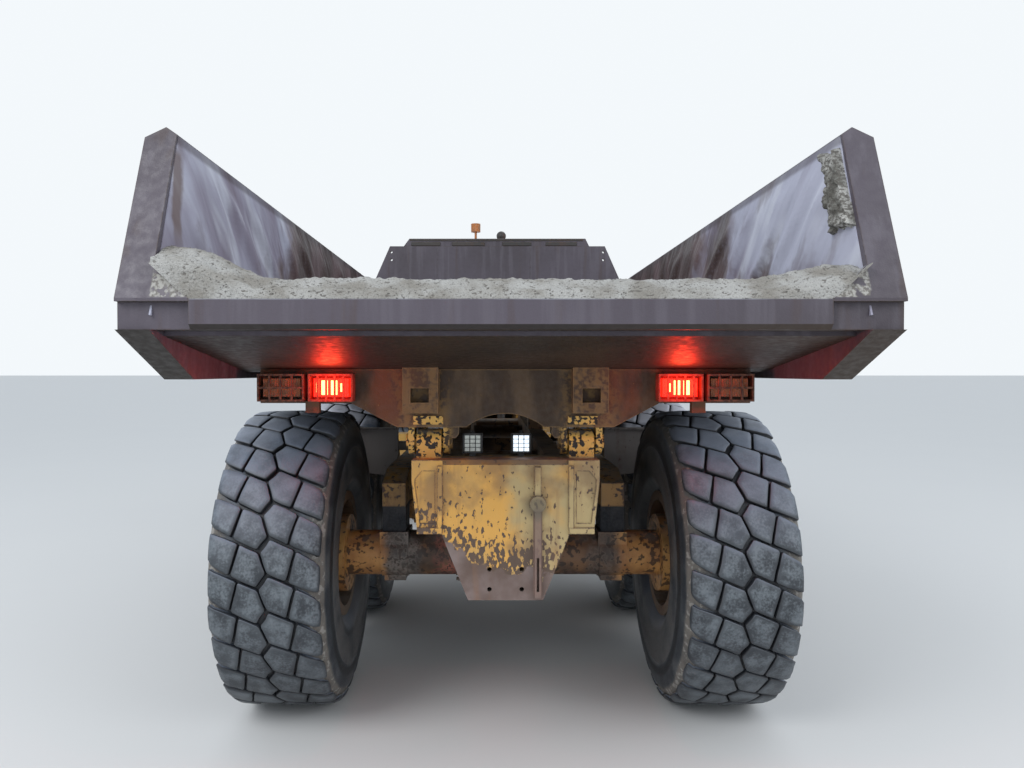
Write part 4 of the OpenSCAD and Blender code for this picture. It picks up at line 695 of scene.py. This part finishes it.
# Outlines of one centre block and one shoulder block: distance across, distance along the tread.
# The other half of the tread has the same blocks, turned by half a turn.
CENTRE_BLOCK = [(-0.015, 0.0), (0.006, -0.046), (0.022, -0.083), (0.07, -0.083), (0.113, -0.082),
                (0.122, -0.04), (0.136, 0.022), (0.15, 0.081), (0.085, 0.083), (0.029, 0.083),
                (0.01, 0.044)]
SHOULDER_BLOCK = [(0.121, -0.081), (0.19, -0.079), (0.24, -0.075), (0.279, -0.066), (0.288, 0.0),
                  (0.283, 0.062), (0.246, 0.075), (0.2, 0.079), (0.158, 0.081), (0.144, 0.022),
                  (0.13, -0.04)]
# Columns: scale of the outline, share of the groove's depth, dirt and painted shade (-1 is the middle of
# a block's face)
BLOCK_LEVELS = [(1.015, 1.0, 0.36), (1.0, 0.5, 0.34), (0.985, 0.16, 0.22), (0.935, 0.035, -0.05),
                (0.68, 0.0, -0.8), (0.34, 0.0, -1.0)]


def along(line, distance):
    """The point and the outward direction at a distance along a line."""
    for a, b in zip(line, line[1:]):
        step = (b - a).length
        if distance <= step or b is line[-1]:
            forward = (b - a).normalized()
            return a + forward * min(distance, step), Vector((-forward.y, forward.x))
        distance -= step


def on_wheel(across, angle, radius):
    """A point at a distance across, an angle and a radius from the middle of a wheel."""
    return Vector((across, -cos(angle) * radius, sin(angle) * radius))


def tyre_point(line, across, angle, depth):
    point, outward = along(line, abs(across))
    point = point - outward * depth
    return on_wheel(copysign(1, across) * point.x, angle, point.y)


def groove_depth(across):
    return GROOVE * (1 - fade(abs(across), 0.255, 0.335))


def shoulder_share(across):
    """How much of the dirt that gathers at the tread's shoulders lies at this distance across."""
    return fade(abs(across), 0.1, 0.25)


def tread_block(mesh, line, middle, outline, side, start, wear):
    outline = cut_corners(outline, 0.14)
    centre = (sum(p[0] for p in outline) / len(outline), sum(p[1] for p in outline) / len(outline))
    radius = line[0].y
    rings = []
    dirt_and_shade = []
    for scale, sunk, level in BLOCK_LEVELS:
        ring = []
        for across, run in outline:
            a = side * (centre[0] + (across - centre[0]) * scale)
            b = start + side * (centre[1] + (run - centre[1]) * scale) - SLANT * a
            depth = groove_depth(a) * sunk + wear * (1 - sunk)
            ring.append(middle + tyre_point(line, a, b / radius, depth))
            dirt_and_shade.append(level + 0.6 * shoulder_share(a) * max(0.0, sunk - 0.05))
        rings.append(ring)
    mesh.rings(rings, dirt_and_shade=dirt_and_shade)


def carcass_loop(line, half):
    """The tyre's section without its blocks, as distance across, radius, and the value for dirt and
    painted shade.
    """
    across = [0.0, 0.08, 0.14, 0.19, 0.23, 0.25, 0.27, 0.285, 0.3, 0.315, 0.335, 0.36, 0.385]
    right = []
    for a in across:
        point = tyre_point(line, a, 0, groove_depth(a))
        # In the grooves the value is 0.36, which the tyre's material paints as shade. Towards the
        # shoulders it rises to where it paints caked dirt.
        caked = 0.36 + 0.6 * shoulder_share(a) if a < 0.32 else 0.62
        right.append((point.x, -point.y, caked))
    # Columns: distance in from the side, radius
    wall = [(0.003, 0.61), (0.007, 0.602), (0.002, 0.594), (0.0, 0.52), (0.004, 0.47), (0.01, 0.455),
            (0.008, 0.44), (0.02, 0.405), (0.052, 0.368), (0.064, 0.352), (0.075, 0.3195)]
    right += [(half - inset, r, 0.03) for inset, r in wall]
    inner = [(0.1, 0.335, 0.0), (-0.1, 0.335, 0.0)]
    return right + inner + [(-x, r, dirt_and_shade) for x, r, dirt_and_shade in reversed(right[1:])]


def tyre(name, body, material):
    low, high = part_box(name)
    middle = (low + high) / 2
    half = (high.x - low.x) / 2
    radius = (high.z - low.z) / 2
    line = [Vector((half - inset, radius - drop)) for inset, drop in CROWN_LINE]
    mesh = Mesh()
    loop = carcass_loop(line, half)
    rings = []
    for k in range(CARCASS_STEPS):
        angle = 2 * pi * k / CARCASS_STEPS
        ring = []
        for x, r, dirt_and_shade in loop:
            crumbs = 0.005 if 0.24 < abs(x) < 0.292 and r > radius - 0.1 else 0.0
            r -= crumbs * (1 + noise.noise(Vector((x * 60, cos(angle) * 45, sin(angle) * 45))))
            ring.append(middle + on_wheel(x, angle, r))
        rings.append(ring)
    mesh.rings(rings, closed=True, dirt_and_shade=[dirt_and_shade for _, _, dirt_and_shade in loop] * CARCASS_STEPS)
    pitch = 2 * pi * line[0].y / TREAD_PITCHES
    for i in range(TREAD_PITCHES):
        for side, shift in ((1, 0.0), (-1, 0.5)):
            for outline in (CENTRE_BLOCK, SHOULDER_BLOCK):
                worn = BLOCK_WEAR * dice.random() * (i % 3)
                shape = [tuple(v + dice.uniform(-BLOCK_CHANGE, BLOCK_CHANGE) for v in corner)
                         for corner in outline]
                tread_block(mesh, line, middle, shape, side, (i + shift) * pitch, worn)
    piece = mesh.make(name + "_treaded", body, "tyre", material, smooth=50)
    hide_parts(name)


def wheels():
    for axle, material in AXLES.items():
        for side, _ in SIDES:
            tyre(f"tyre_{axle}_{side}", f"wheel_{axle}_{side}", material)


def wheel_nuts():
    """Nuts round each rim's disc, bolts on the hub's cover and a valve."""
    for axle in AXLES:
        for side, sign in SIDES:
            low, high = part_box(f"rim_{axle}_{side}")
            middle = (low + high) / 2
            out = X_AXIS * sign
            mesh = Mesh()
            mesh.bolt_circle(middle + out * 0.1195, out, count=20, radius=0.215, size=0.017, height=0.026)
            mesh.bolt_circle(middle + out * 0.205, out, count=12, radius=0.072, size=0.009, height=0.012,
                             turn=0.5, flare=0.2)
            mesh.turned(middle + out * 0.212, out, [(0, 0.04), (0.008, 0.04), (0.012, 0.034)], 24)
            foot = middle + out * 0.15 + Z_AXIS * 0.262
            mesh.tube([foot, foot + out * 0.03, foot + out * 0.055 + Z_AXIS * 0.012], 0.006, 8)
            mesh.make(f"nuts_{axle}_{side}", f"wheel_{axle}_{side}", "bare_steel")


# Bed

LIP_LOW, LIP_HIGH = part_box("bed_lip")
SIDE_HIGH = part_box("bed_side_right")[1]
FLOOR_LOW, FLOOR_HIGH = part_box("bed_floor")
HEAD_LOW, HEAD_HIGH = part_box("bed_headboard")
INNER_X = FLOOR_HIGH.x
CHUTE_SLOPE = 0.138
CHUTE_START = -2.434
FLOOR_TOP = FLOOR_LOW.z + 0.05
SHELF_TOP = FLOOR_TOP + 0.22
POST_LEAN = 0.397
LEFT_BANK = 0.115
RIGHT_BANK = 0.05
DENT_DEPTH = 0.022
# How far the added sheets reach into the CAD walls behind them
SUNK = 0.004
# Dents pressed into the walls between their ribs: distance from the lip, lean, width, depth
DENTS = [(0.44, -0.9, 0.07, 0.9), (0.74, -1.0, 0.05, 0.6), (1.06, -1.2, 0.065, 1.0),
         (1.5, -1.4, 0.075, 0.9), (1.98, -1.5, 0.065, 0.8), (2.42, -1.2, 0.08, 1.0),
         (2.95, -1.0, 0.07, 0.8), (3.5, -0.6, 0.08, 0.9), (4.1, -0.4, 0.07, 0.9),
         (4.7, -0.3, 0.08, 0.8)]


def chute_top(y):
    return FLOOR_TOP + CHUTE_SLOPE * max(0.0, CHUTE_START - y)


def crust_support(x, y):
    """What the crust lies on: the chute's floor, the lip and the corner plates."""
    z = chute_top(y)
    if y < LIP_HIGH.y:
        z = max(z, LIP_HIGH.z)
    rise = (abs(x) - LIP_HIGH.x) / (INNER_X - LIP_HIGH.x)
    if rise > 0 and y < LIP_LOW.y + POST_LEAN:
        z = max(z, LIP_HIGH.z + 0.13 * rise - CHUTE_SLOPE * (y - LIP_LOW.y))
    return z


def crust_top(x, y):
    """The crust's upper side: a rough, nearly level crest behind the lip, banked up in the corners."""
    waves = noise.noise(Vector((x * 3.3, y * 3.3, 0))) * 0.007
    lumps = noise.fractal(Vector((x * 14, y * 14, 0)), 0.7, 2.1, 5) * 0.008
    cracks = abs(noise.noise(Vector((x * 27, y * 31, 3.1)))) * -0.012
    back = y - LIP_LOW.y
    crest = LIP_HIGH.z + 0.034 * fade(back, 0.004, 0.02) + 0.052 * fade(back, 0.02, 0.16)
    fall = (CHUTE_SLOPE + 0.235) * max(0.0, back - 0.22)
    bank = LEFT_BANK if x < 0 else RIGHT_BANK
    bank *= fade(abs(x), 0.86, 1.19) * (1 - fade(back, 0.3, 0.85))
    edge = fade(back, 0.0, 0.03)
    return crest - fall + bank + (waves + lumps + cracks) * edge


def closed_sheet(rows, columns, shape):
    """A closed solid between two grids. The shape gives both points for a row and a column."""
    pairs = [shape(v, u) for v in rows for u in columns]
    height, width, count = len(rows), len(columns), len(pairs)
    faces = []
    for i in range(height - 1):
        for a in range(i * width, i * width + width - 1):
            faces.append((a, a + 1, a + width + 1, a + width))
            faces.append((count + a, count + a + width, count + a + width + 1, count + a + 1))
    last_row = count - width
    rim = [*range(width - 1), *range(width - 1, count - 1, width),
           *range(count - 1, last_row, -1), *range(last_row, 0, -width)]
    for a, b in zip(rim, rim[1:] + rim[:1]):
        faces.append((a, count + a, count + b, b))
    mesh = Mesh()
    mesh.add([top for top, _ in pairs] + [bottom for _, bottom in pairs], faces)
    return mesh


def lip_crust():
    """The thin crust behind the lip."""
    def shape(y, x):
        low = crust_support(x, y) - 0.004
        return (x, y, max(crust_top(x, y), low + 0.001)), (x, y, low - 0.004)

    across = np.linspace(-INNER_X + 0.002, INNER_X - 0.002, 420)
    back = LIP_LOW.y + 0.003 + np.linspace(0, 1, 80) ** 1.6 * 0.95
    closed_sheet(back, across, shape).make("lip_crust", "bed", "bed_paint", "grit", smooth=80)


def wall_crust():
    """A patch of caked grit on the right wall beside its post."""
    low, high = 2.37, 2.71

    def shape(v, u):
        z = low + (high - low) * v
        post = LIP_LOW.y + 0.024 + POST_LEAN * (z - LIP_HIGH.z)
        y = max(post, LIP_LOW.y + 0.21 + 0.24 * (z - 2.4) + 0.22 * (u - 0.5))
        ragged = noise.fractal(Vector((y * 13, z * 13, 0)), 0.8, 2.1, 4) * 0.75
        rim = min(u, 1 - u, v * 2, (1 - v) * 2) * 3 + ragged
        height = 0.036 * fade(rim, 0.1, 0.5)
        height += 0.014 * fade(rim, 0.3, 0.7) * noise.noise(Vector((y * 45, z * 45, 5)))
        return (INNER_X - 0.001 - height, y, z), (INNER_X + SUNK, y, z)

    patch = closed_sheet(np.linspace(0, 1, 60), np.linspace(0, 1, 26), shape)
    patch.make("wall_crust", "bed", "bed_paint", "rocky_grit", smooth=80)


def dent(y, z, seed):
    """How far a wall is pushed in, from 0 to 1."""
    depth = 0.35 + 0.35 * noise.fractal(Vector((y * 1.5, z * 1.8, seed)), 1.0, 2.0, 3)
    for place, lean, width, deep in DENTS:
        off = y - (LIP_LOW.y + place + lean * (z - 2.45) + 0.05 * sin(9 * z + seed * 3 + place * 5))
        reach = fade(z, 1.95 + 0.12 * sin(place * 7 + seed), 2.25) * (1 - fade(z, 2.52, 2.72))
        ridge = 0.55 * exp(-((off + 0.11) / width) ** 2)
        depth += deep * reach * (exp(-(off / width) ** 2) - ridge)
    return min(max(depth, 0.0), 1.0)


def wall_skin(side, sign, seed):
    """The inner sheet of a wall, dented between the ribs and white with frost."""
    top_z = SIDE_HIGH.z - 0.036

    def shape(v, u):
        start = LIP_LOW.y + 0.012 + POST_LEAN * v * (top_z - LIP_HIGH.z)
        y = start + (HEAD_LOW.y - 0.004 - start) * u
        low = max(chute_top(y), SHELF_TOP) + 0.003
        z = low + (top_z - low) * v
        hold = fade(min(u * 20, (1 - u) * 20, v * 5, (1 - v) * 6), 0, 1)
        inner = INNER_X - 0.003 - DENT_DEPTH * dent(y, z, seed) * hold
        return (sign * inner, y, z), (sign * (INNER_X + SUNK), y, z)

    skin = closed_sheet(np.linspace(0, 1, 40), np.linspace(0, 1, 260), shape)
    skin.make(f"wall_skin_{side}", "bed", "bed_paint", "frosted_bed", smooth=60)


def headboard_trim():
    """The dark edge of the rock guard and the weld seams inside the bed."""
    guard = Mesh()
    front = HEAD_LOW.y + 0.004
    top = HEAD_HIGH.z
    guard.block((-0.905, front, top - 0.024), (0.885, front + 0.008, top - 0.004), 0.003)
    for x, wide in ((-0.74, 0.3), (-0.3, 0.34), (0.2, 0.3), (0.66, 0.32)):
        guard.slab((x, front + 0.0025, top - 0.055), (wide, 0.011, 0.038))
    guard.make("guard_edge", "bed", "black_steel")
    seams = Mesh()
    for x in (0.34, -0.62):
        bead(seams, (x, HEAD_LOW.y, FLOOR_TOP + 0.3), (x, HEAD_LOW.y, top - 0.1), 0.007)
    foot_y = LIP_LOW.y + 0.4
    for x in (-INNER_X, INNER_X):
        bend = (x, CHUTE_START, SHELF_TOP)
        bead(seams, (x, foot_y, chute_top(foot_y) + 0.004), bend, 0.009)
        bead(seams, bend, (x, HEAD_LOW.y, SHELF_TOP), 0.009)
    seams.make("bed_welds", "bed", "bed_paint")


def bead(mesh, start, end, radius):
    """A weld bead: a rippled half-sunk rod."""
    start, end = Vector(start), Vector(end)
    length = (end - start).length
    steps = max(4, int(length / 0.03))
    profile = [(length * i / steps, radius * (0.86 + 0.14 * cos(i * 2.4))) for i in range(steps + 1)]
    mesh.turned(start, end - start, profile, 8)


# Lamps

# Columns: share of the red lens from its inner to its outer side, width, height
EMITTERS = [(0.2, 0.013, 0.04), (0.42, 0.03, 0.068), (0.69, 0.03, 0.068), (0.9, 0.01, 0.046)]
# The right-hand cables; the left ones mirror them
LAMP_CABLES = [
    [(0.8, -4.05, 1.76), (0.8, -3.96, 1.75), (0.62, -3.9, 1.72), (0.52, -3.88, 1.6)],
    [(1.05, -4.05, 1.76), (1.05, -3.97, 1.74), (0.8, -3.92, 1.73)],
]


def lamp_details():
    """Emitters inside the lit red lamps and the lamps' cables."""
    low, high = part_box("tail_lenses")
    inner_x = 0.742
    z = (low.z + high.z) / 2
    glow = Mesh()
    for sign in (-1, 1):
        for share, wide, tall in EMITTERS:
            x = sign * (inner_x + share * (high.x - inner_x))
            glow.slab((x, low.y - 0.0005, z), (wide, 0.007, tall), 0.006)
    glow.make("tail_lamp_emitters", "bed", "red_lamp", "warm_led")
    cables = Mesh()
    for sign in (-1, 1):
        for path in LAMP_CABLES:
            cables.tube([(sign * x, y, z) for x, y, z in path], 0.009)
    cables.make("lamp_cables", "bed", "rubber")


def work_lamp_details():
    """Bezels, fins, bolts and a grid of cells: the right lamp is lit and the left one is dim."""
    low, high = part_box("work_lamps")
    z = (low.z + 0.015 + high.z) / 2 + 0.002
    casing = Mesh()
    for x, side, finish in ((-0.16, "left", "dim_led"), (0.08, "right", "white_led")):
        for d in (-0.044, 0.044):
            casing.slab((x + d, low.y - 0.003, z), (0.01, 0.01, 0.096), 0.002)
            casing.slab((x, low.y - 0.003, z + d), (0.1, 0.01, 0.01), 0.002)
        for d in (-0.03, -0.01, 0.01, 0.03):
            casing.slab((x, high.y + 0.006, z + d), (0.094, 0.016, 0.01), 0.002)
        casing.bolt((x, low.y + 0.035, high.z), Z_AXIS, 0.01, 0.01)
        cells = Mesh()
        for i in range(3):
            for j in range(4):
                place = (x + (i - 1) * 0.0275, low.y - 0.0015, z + (j - 1.5) * 0.0205)
                cells.slab(place, (0.0236, 0.007, 0.0176), 0.003)
        cells.make(f"work_lamp_cells_{side}", "rear_frame", "clear_lamp", finish)
    casing.make("work_lamp_casings", "rear_frame", "black_plastic")


def head_lamp_rings():
    low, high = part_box("head_lamps")
    z = (low.z + high.z) / 2
    radius = (high.z - low.z) / 2
    mesh = Mesh()
    for x in (-0.93, -0.76, 0.76, 0.93):
        loop = [(-0.004, radius - 0.004), (0.003, radius - 0.006), (0.004, radius + 0.004),
                (0.001, radius + 0.012), (-0.004, radius + 0.012)]
        mesh.turned((x, high.y, z), Y_AXIS, loop, 28, closed=True)
    mesh.make("head_lamp_rings", "tractor", "black_plastic")


# Cab, hood and chassis

SEAL_WIDTH = 0.022
SCREEN_SLOPE = 0.1062


def screen_y(z):
    """The outer face of the wind screen's frame at a height."""
    return 3.24 - SCREEN_SLOPE * (z - 2.17)


def seal(mesh, x, y, z):
    """A rubber strip round a pane that stands upright. x or y is the thin direction."""
    wide = 1 if x[1] - x[0] < y[1] - y[0] else 0
    for axis in (wide, 2):
        for end, inwards in ((0, SEAL_WIDTH), (1, -SEAL_WIDTH)):
            spans = [list(x), list(y), list(z)]
            spans[axis][1 - end] = spans[axis][end] + inwards
            mesh.block([low for low, _ in spans], [high for _, high in spans])


def window_seals():
    sill, head = 2.17, 3.18
    mesh = Mesh()
    seal(mesh, (0.704, 0.726), (1.96, 2.8), (sill, head))
    for x in ((0.704, 0.726), (-0.726, -0.704)):
        seal(mesh, x, (2.86, 3.05), (sill, head))
    seal(mesh, (-0.62, 0.62), (1.782, 1.804), (2.27, head))
    lean = Matrix.Rotation(atan(SCREEN_SLOPE), 3, "X")
    for x in (-0.62, 0.62 - SEAL_WIDTH):
        mesh.block((x, 3.142, 2.222), (x + SEAL_WIDTH, 3.166, 3.248), turn=lean)
    for z in (2.232, 3.216):
        y = screen_y(z) - 0.034
        mesh.block((-0.62, y - 0.012, z), (0.62, y + 0.012, z + SEAL_WIDTH), turn=lean)
    mesh.make("window_seals", "tractor", "rubber")
    low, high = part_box("door_glass")
    door = Mesh()
    seal(door, (-0.726, -0.702), (low.y, high.y), (low.z, high.z))
    door.make("door_seal", "door", "rubber")


def wipers():
    mesh = Mesh()
    up = Vector((0, -SCREEN_SLOPE, 1)).normalized() * 0.24
    for foot_x, tip_x in ((-0.1, -0.42), (0.42, 0.1)):
        foot = Vector((foot_x, screen_y(2.2) + 0.006, 2.205))
        tip = Vector((tip_x, screen_y(2.66) + 0.012, 2.66))
        mesh.turned(foot - Y_AXIS * 0.012, Y_AXIS, [(0, 0.018), (0.016, 0.018), (0.022, 0.012)], 16)
        mesh.tube([foot, foot.lerp(tip, 0.5) + Y_AXIS * 0.012, tip], 0.006, 8)
        behind = tip - Y_AXIS * 0.016
        mesh.tube([behind - up, tip - Y_AXIS * 0.01, behind + up], 0.007, 8)
    mesh.make("wipers", "tractor", "black_plastic")


def door_handle():
    x, y, z = -0.74, 2.055, 2.075
    reach = 0.045
    mesh = Mesh()
    mesh.slab((x - 0.002, y, z), (0.008, 0.06, 0.15))
    mesh.tube([(x, y, z - 0.055), (x - reach, y, z - 0.05), (x - reach, y, z + 0.05), (x, y, z + 0.055)],
              0.01)
    mesh.turned((x - 0.004, y, z + 0.066), -X_AXIS, [(0, 0.009), (0.006, 0.009), (0.007, 0.007)], 14)
    mesh.make("door_handle", "door", "black_plastic")


def rail(mesh, foot, out, rise):
    """A grab rail that stands off a wall, with a round foot at each end."""
    bend = Z_AXIS * 0.05
    mesh.tube([foot, foot + out * 0.9, foot + out + bend, foot + out + rise - bend,
               foot + out * 0.9 + rise, foot + rise], 0.014, 12)
    for place in (foot, foot + rise):
        mesh.turned(place, out, [(-0.002, 0.03), (0.006, 0.03), (0.008, 0.026)], 18)


def grab_rails():
    mesh = Mesh()
    for sign in (-1, 1):
        rail(mesh, Vector((sign * 0.74, 1.89, 1.8)), X_AXIS * sign * 0.065, Z_AXIS * 1.05)
    mesh.make("grab_rails", "tractor", "black_steel")


def hood_latches():
    mesh = Mesh()
    catch = [(0, 0.014), (0.014, 0.014), (0.018, 0.01)]
    for sign in (-1, 1):
        for y in (3.75, 4.45):
            mesh.slab((sign * 0.69, y, 1.55), (0.016, 0.07, 0.1))
            mesh.turned((sign * 0.696, y, 1.525), X_AXIS * sign, catch, 14)
    mesh.make("hood_latches", "hood", "black_steel")


def mirror_glasses():
    low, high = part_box("mirrors")
    mesh = Mesh()
    for sign in (-1, 1):
        place = (sign * 1.38, low.y - 0.001, (low.z + high.z) / 2)
        mesh.slab(place, (0.196, 0.006, high.z - low.z - 0.06), 0.012)
    mesh.make("mirror_glasses", "tractor", "glass", "mirror_glass")


def pad(size, crown, seams):
    """A crowned cushion about the origin: its sides pull in, and sewn channels run across it."""
    half = Vector(size) / 2
    mesh = Mesh()
    rings = []
    dirt_and_shade = []
    for i in range(1, 30):
        v = pi * (i / 30 - 0.5)
        ring = []
        for k in range(72):
            u = 2 * pi * k / 72
            p = Vector((power(cos(v), 0.35) * power(cos(u), 0.35),
                        power(cos(v), 0.35) * power(sin(u), 0.35), power(sin(v), 0.55)))
            p.x *= 0.985 - 0.03 * (1 - p.y * p.y)
            p.y *= 0.985 - 0.03 * (1 - p.x * p.x)
            channel = max(exp(-((p.y - seam) / 0.03) ** 2) for seam in seams)
            crowned = 1 - crown * (p.x * p.x + p.y * p.y) / 2 - 0.1 * channel
            ring.append(Vector((p.x * half.x, p.y * half.y, p.z * half.z * crowned)))
            # The channels carry a value that the seat's cloth paints as shade.
            dirt_and_shade.append(channel if p.z > 0.4 else 0.0)
        rings.append(ring)
    mesh.rings(rings, dirt_and_shade=dirt_and_shade)
    return mesh


def power(value, exponent):
    return copysign(abs(value) ** exponent, value)


def seat_pieces():
    """The driver's seat: a padded cushion and back on a pedestal with bellows and a slide."""
    low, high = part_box("seat")
    hinge_y = 2.18
    hinge_z = 1.815
    base = Mesh()
    base.slab((0, hinge_y + 0.2, low.z + 0.015), (0.26, 0.24, 0.03), 0.006)
    folds = [(0.03 + 0.03 * i, 0.1 if i % 2 else 0.122) for i in range(10)]
    base.turned((0, hinge_y + 0.2, low.z), Z_AXIS, folds, 40)
    base.slab((0, hinge_y + 0.235, 1.754), (0.4, 0.41, 0.024), 0.006)
    for x in (-0.155, 0.155):
        base.slab((x, hinge_y - 0.015, hinge_z), (0.03, 0.15, 0.03), 0.005)
    pedestal = base.make("seat_pedestal", "tractor", "black_plastic")
    cushion = pad((0.52, 0.485, 0.122), 0.1, (-0.45, 0.0, 0.45))
    middle = Vector((0, hinge_y + 0.2375, 1.819))
    cushion.points = [middle + p for p in cushion.points]
    cushion = cushion.make("seat_cushion", "tractor", "seat_cloth", smooth=80)
    back = pad((0.5, 0.74, 0.11), 0.12, (-0.5, -0.05, 0.4))
    turn = Matrix.Rotation(pi, 3, "Z") @ Matrix.Rotation(pi / 2, 3, "X")
    middle = Vector((0, hinge_y - 0.055, (high.z + hinge_z) / 2))
    back.points = [middle + turn @ p for p in back.points]
    back = back.make("seat_back", "tractor", "seat_cloth", smooth=80)
    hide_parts("seat")
    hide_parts("seat")
    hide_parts("seat")


def tank_straps():
    """Straps with bolts round the tank and the box opposite, and the filler's cap."""
    mesh = Mesh()
    for sign in (-1, 1):
        for y in (1.33, 1.53):
            mesh.slab((sign * 1.24, y, 0.915), (0.008, 0.04, 0.38), 0.003)
            mesh.bolt((sign * 1.243, y, 1.07), X_AXIS * sign, 0.01, 0.01)
    mesh.turned((0.92, 1.43, 1.11), Z_AXIS, [(-0.01, 0.055), (0.022, 0.055), (0.03, 0.046)], 24)
    mesh.make("tank_straps", "tractor", "black_steel")


def beam_pivot_bolts():
    mesh = Mesh()
    for sign in (-1, 1):
        mesh.bolt_circle((sign * 0.689, -2.58, 1.15), X_AXIS * sign, count=6, radius=0.044, size=0.009,
                         height=0.01)
    mesh.make("beam_pivot_bolts", "rear_frame", "bare_steel")


def casing_bolts():
    """Bolts round each axle's casing, and a filler plug."""
    plug = [(0, 0.022), (0.014, 0.022), (0.018, 0.018)]
    for axle, body in (("rear", "rear_frame"), ("middle", "rear_frame"), ("front", "tractor")):
        low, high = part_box(f"{axle}_axle")
        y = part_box(f"rim_{axle}_left")[0].y + RIM_RADIUS
        z = (low.z + high.z) / 2
        mesh = Mesh()
        for sign in (-1, 1):
            mesh.bolt_circle((sign * 0.25, y, z), X_AXIS * sign, count=14, radius=0.152, size=0.009,
                             height=0.012, turn=0.5)
        mesh.turned((0.06, y - 0.205, z + 0.075), (0, -1, 0.35), plug, 6)
        mesh.make(f"{axle}_axle_bolts", body, "bare_steel")


def cylinder_pipes():
    """A steel pipe along the top of each hoist barrel, held by two clips."""
    foot = Vector((0, -0.85, 0.85))
    eye = Vector((0, -2.58, 1.49))
    run = (eye - foot).normalized()
    up = Vector((0, run.z, -run.y))
    stand = 0.091
    # Columns: distance from the foot, height over the barrel's middle
    pipe = [(0.16, 0.06), (0.18, stand), (0.4, stand), (1.3, stand), (1.5, stand), (1.53, 0.06)]
    clip = [(-0.014, 0.0745), (0.014, 0.0745), (0.014, 0.08), (-0.014, 0.08)]
    for side, sign in SIDES:
        mesh = Mesh()
        base = foot + X_AXIS * sign * 0.44
        mesh.tube([base + run * reach + up * height for reach, height in pipe], 0.01)
        for reach in (0.5, 1.15):
            mesh.turned(base + run * reach, run, clip, 32, closed=True)
            mesh.turned(base + run * (reach - 0.01) + up * stand, run, [(0, 0.016), (0.02, 0.016)], 14)
        mesh.make(f"hoist_pipe_{side}", f"hoist_barrel_{side}", "bare_steel")


# Studio

# Columns: colour and strength, first as it lights the truck, then as the camera sees it
SKY = [((0.86, 0.93, 1.0), 0.95), ((0.9, 0.94, 0.97), 1.0)]
# Columns: name, place, aimed at, size, power
STUDIO_LIGHTS = [
    ("key_light", (-7.0, -11.0, 9.0), (0, -3, 1.2), 7.0, 700),
    ("fill_light", (8.0, -9.0, 6.0), (0, -3, 1.2), 8.0, 320),
]


def floor():
    size = 400
    step = 50
    ticks = range(-size, size + 1, step)
    n = len(ticks)
    starts = [j * n + i for j in range(n - 1) for i in range(n - 1)]
    data = bpy.data.meshes.new("floor")
    data.from_pydata([(x, y, 0.0) for y in ticks for x in ticks], [],
                     [(a, a + 1, a + n + 1, a + n) for a in starts])
    piece = link("floor", data)
    r = Recipe("pale_floor")
    r.colour = r.mix(r.noise(0.5, 3), (0.64, 0.64, 0.64), (0.655, 0.655, 0.65))
    r.finish(0.9)
    data.materials.append(MATERIALS["pale_floor"])


def sky():
    world = bpy.data.worlds.new("sky")
    bpy.context.scene.world = world
    nodes = Nodes(world)
    lit, seen = (nodes.node("ShaderNodeBackground", {"Color": colour, "Strength": strength}).outputs[0]
                 for colour, strength in SKY)
    by_camera = nodes.node("ShaderNodeLightPath").outputs["Is Camera Ray"]
    shade = nodes.node("ShaderNodeMixShader", {0: by_camera, 1: lit, 2: seen})
    nodes.node("ShaderNodeOutputWorld", {0: shade.outputs[0]})


def lamp(name, kind, place, watts):
    data = bpy.data.lights.new(name, kind)
    data.energy = watts
    holder = link(name, data)
    holder.location = place
    return holder


def lights():
    for name, place, target, size, watts in STUDIO_LIGHTS:
        holder = lamp(name, "AREA", place, watts)
        holder.data.shape = "DISK"
        holder.data.size = size
        holder.rotation_euler = (Vector(target) - Vector(place)).to_track_quat("-Z", "Y").to_euler()
    for sign in (-1, 1):
        holder = lamp("tail_lamp_glow", "POINT", (sign * 0.825, -4.255, 1.79), 3.2)
        holder.data.color = (1.0, 0.03, 0.012)
        holder.data.shadow_soft_size = 0.05


def camera():
    data = bpy.data.cameras.new("camera")
    data.sensor_width = 36
    data.lens = 27.07
    data.shift_x = 0.021
    data.clip_end = 900
    holder = link("camera", data)
    holder.location = (-0.0714, -7.814, 1.84)
    holder.rotation_euler = (radians(90 - 0.89), 0, 0)
    bpy.context.scene.camera = holder
    bpy.context.scene.view_settings.view_transform = "Standard"


make_materials()
dress_cad_nodes()
wheels()
wheel_nuts()
lip_crust()
wall_crust()
wall_skin("left", -1, seed=2.0)
wall_skin("right", 1, seed=7.0)
headboard_trim()
lamp_details()
work_lamp_details()
head_lamp_rings()
window_seals()
wipers()
door_handle()
grab_rails()
hood_latches()
mirror_glasses()
seat_pieces()
tank_straps()
beam_pivot_bolts()
casing_bolts()
cylinder_pipes()
floor()
sky()
lights()
camera()
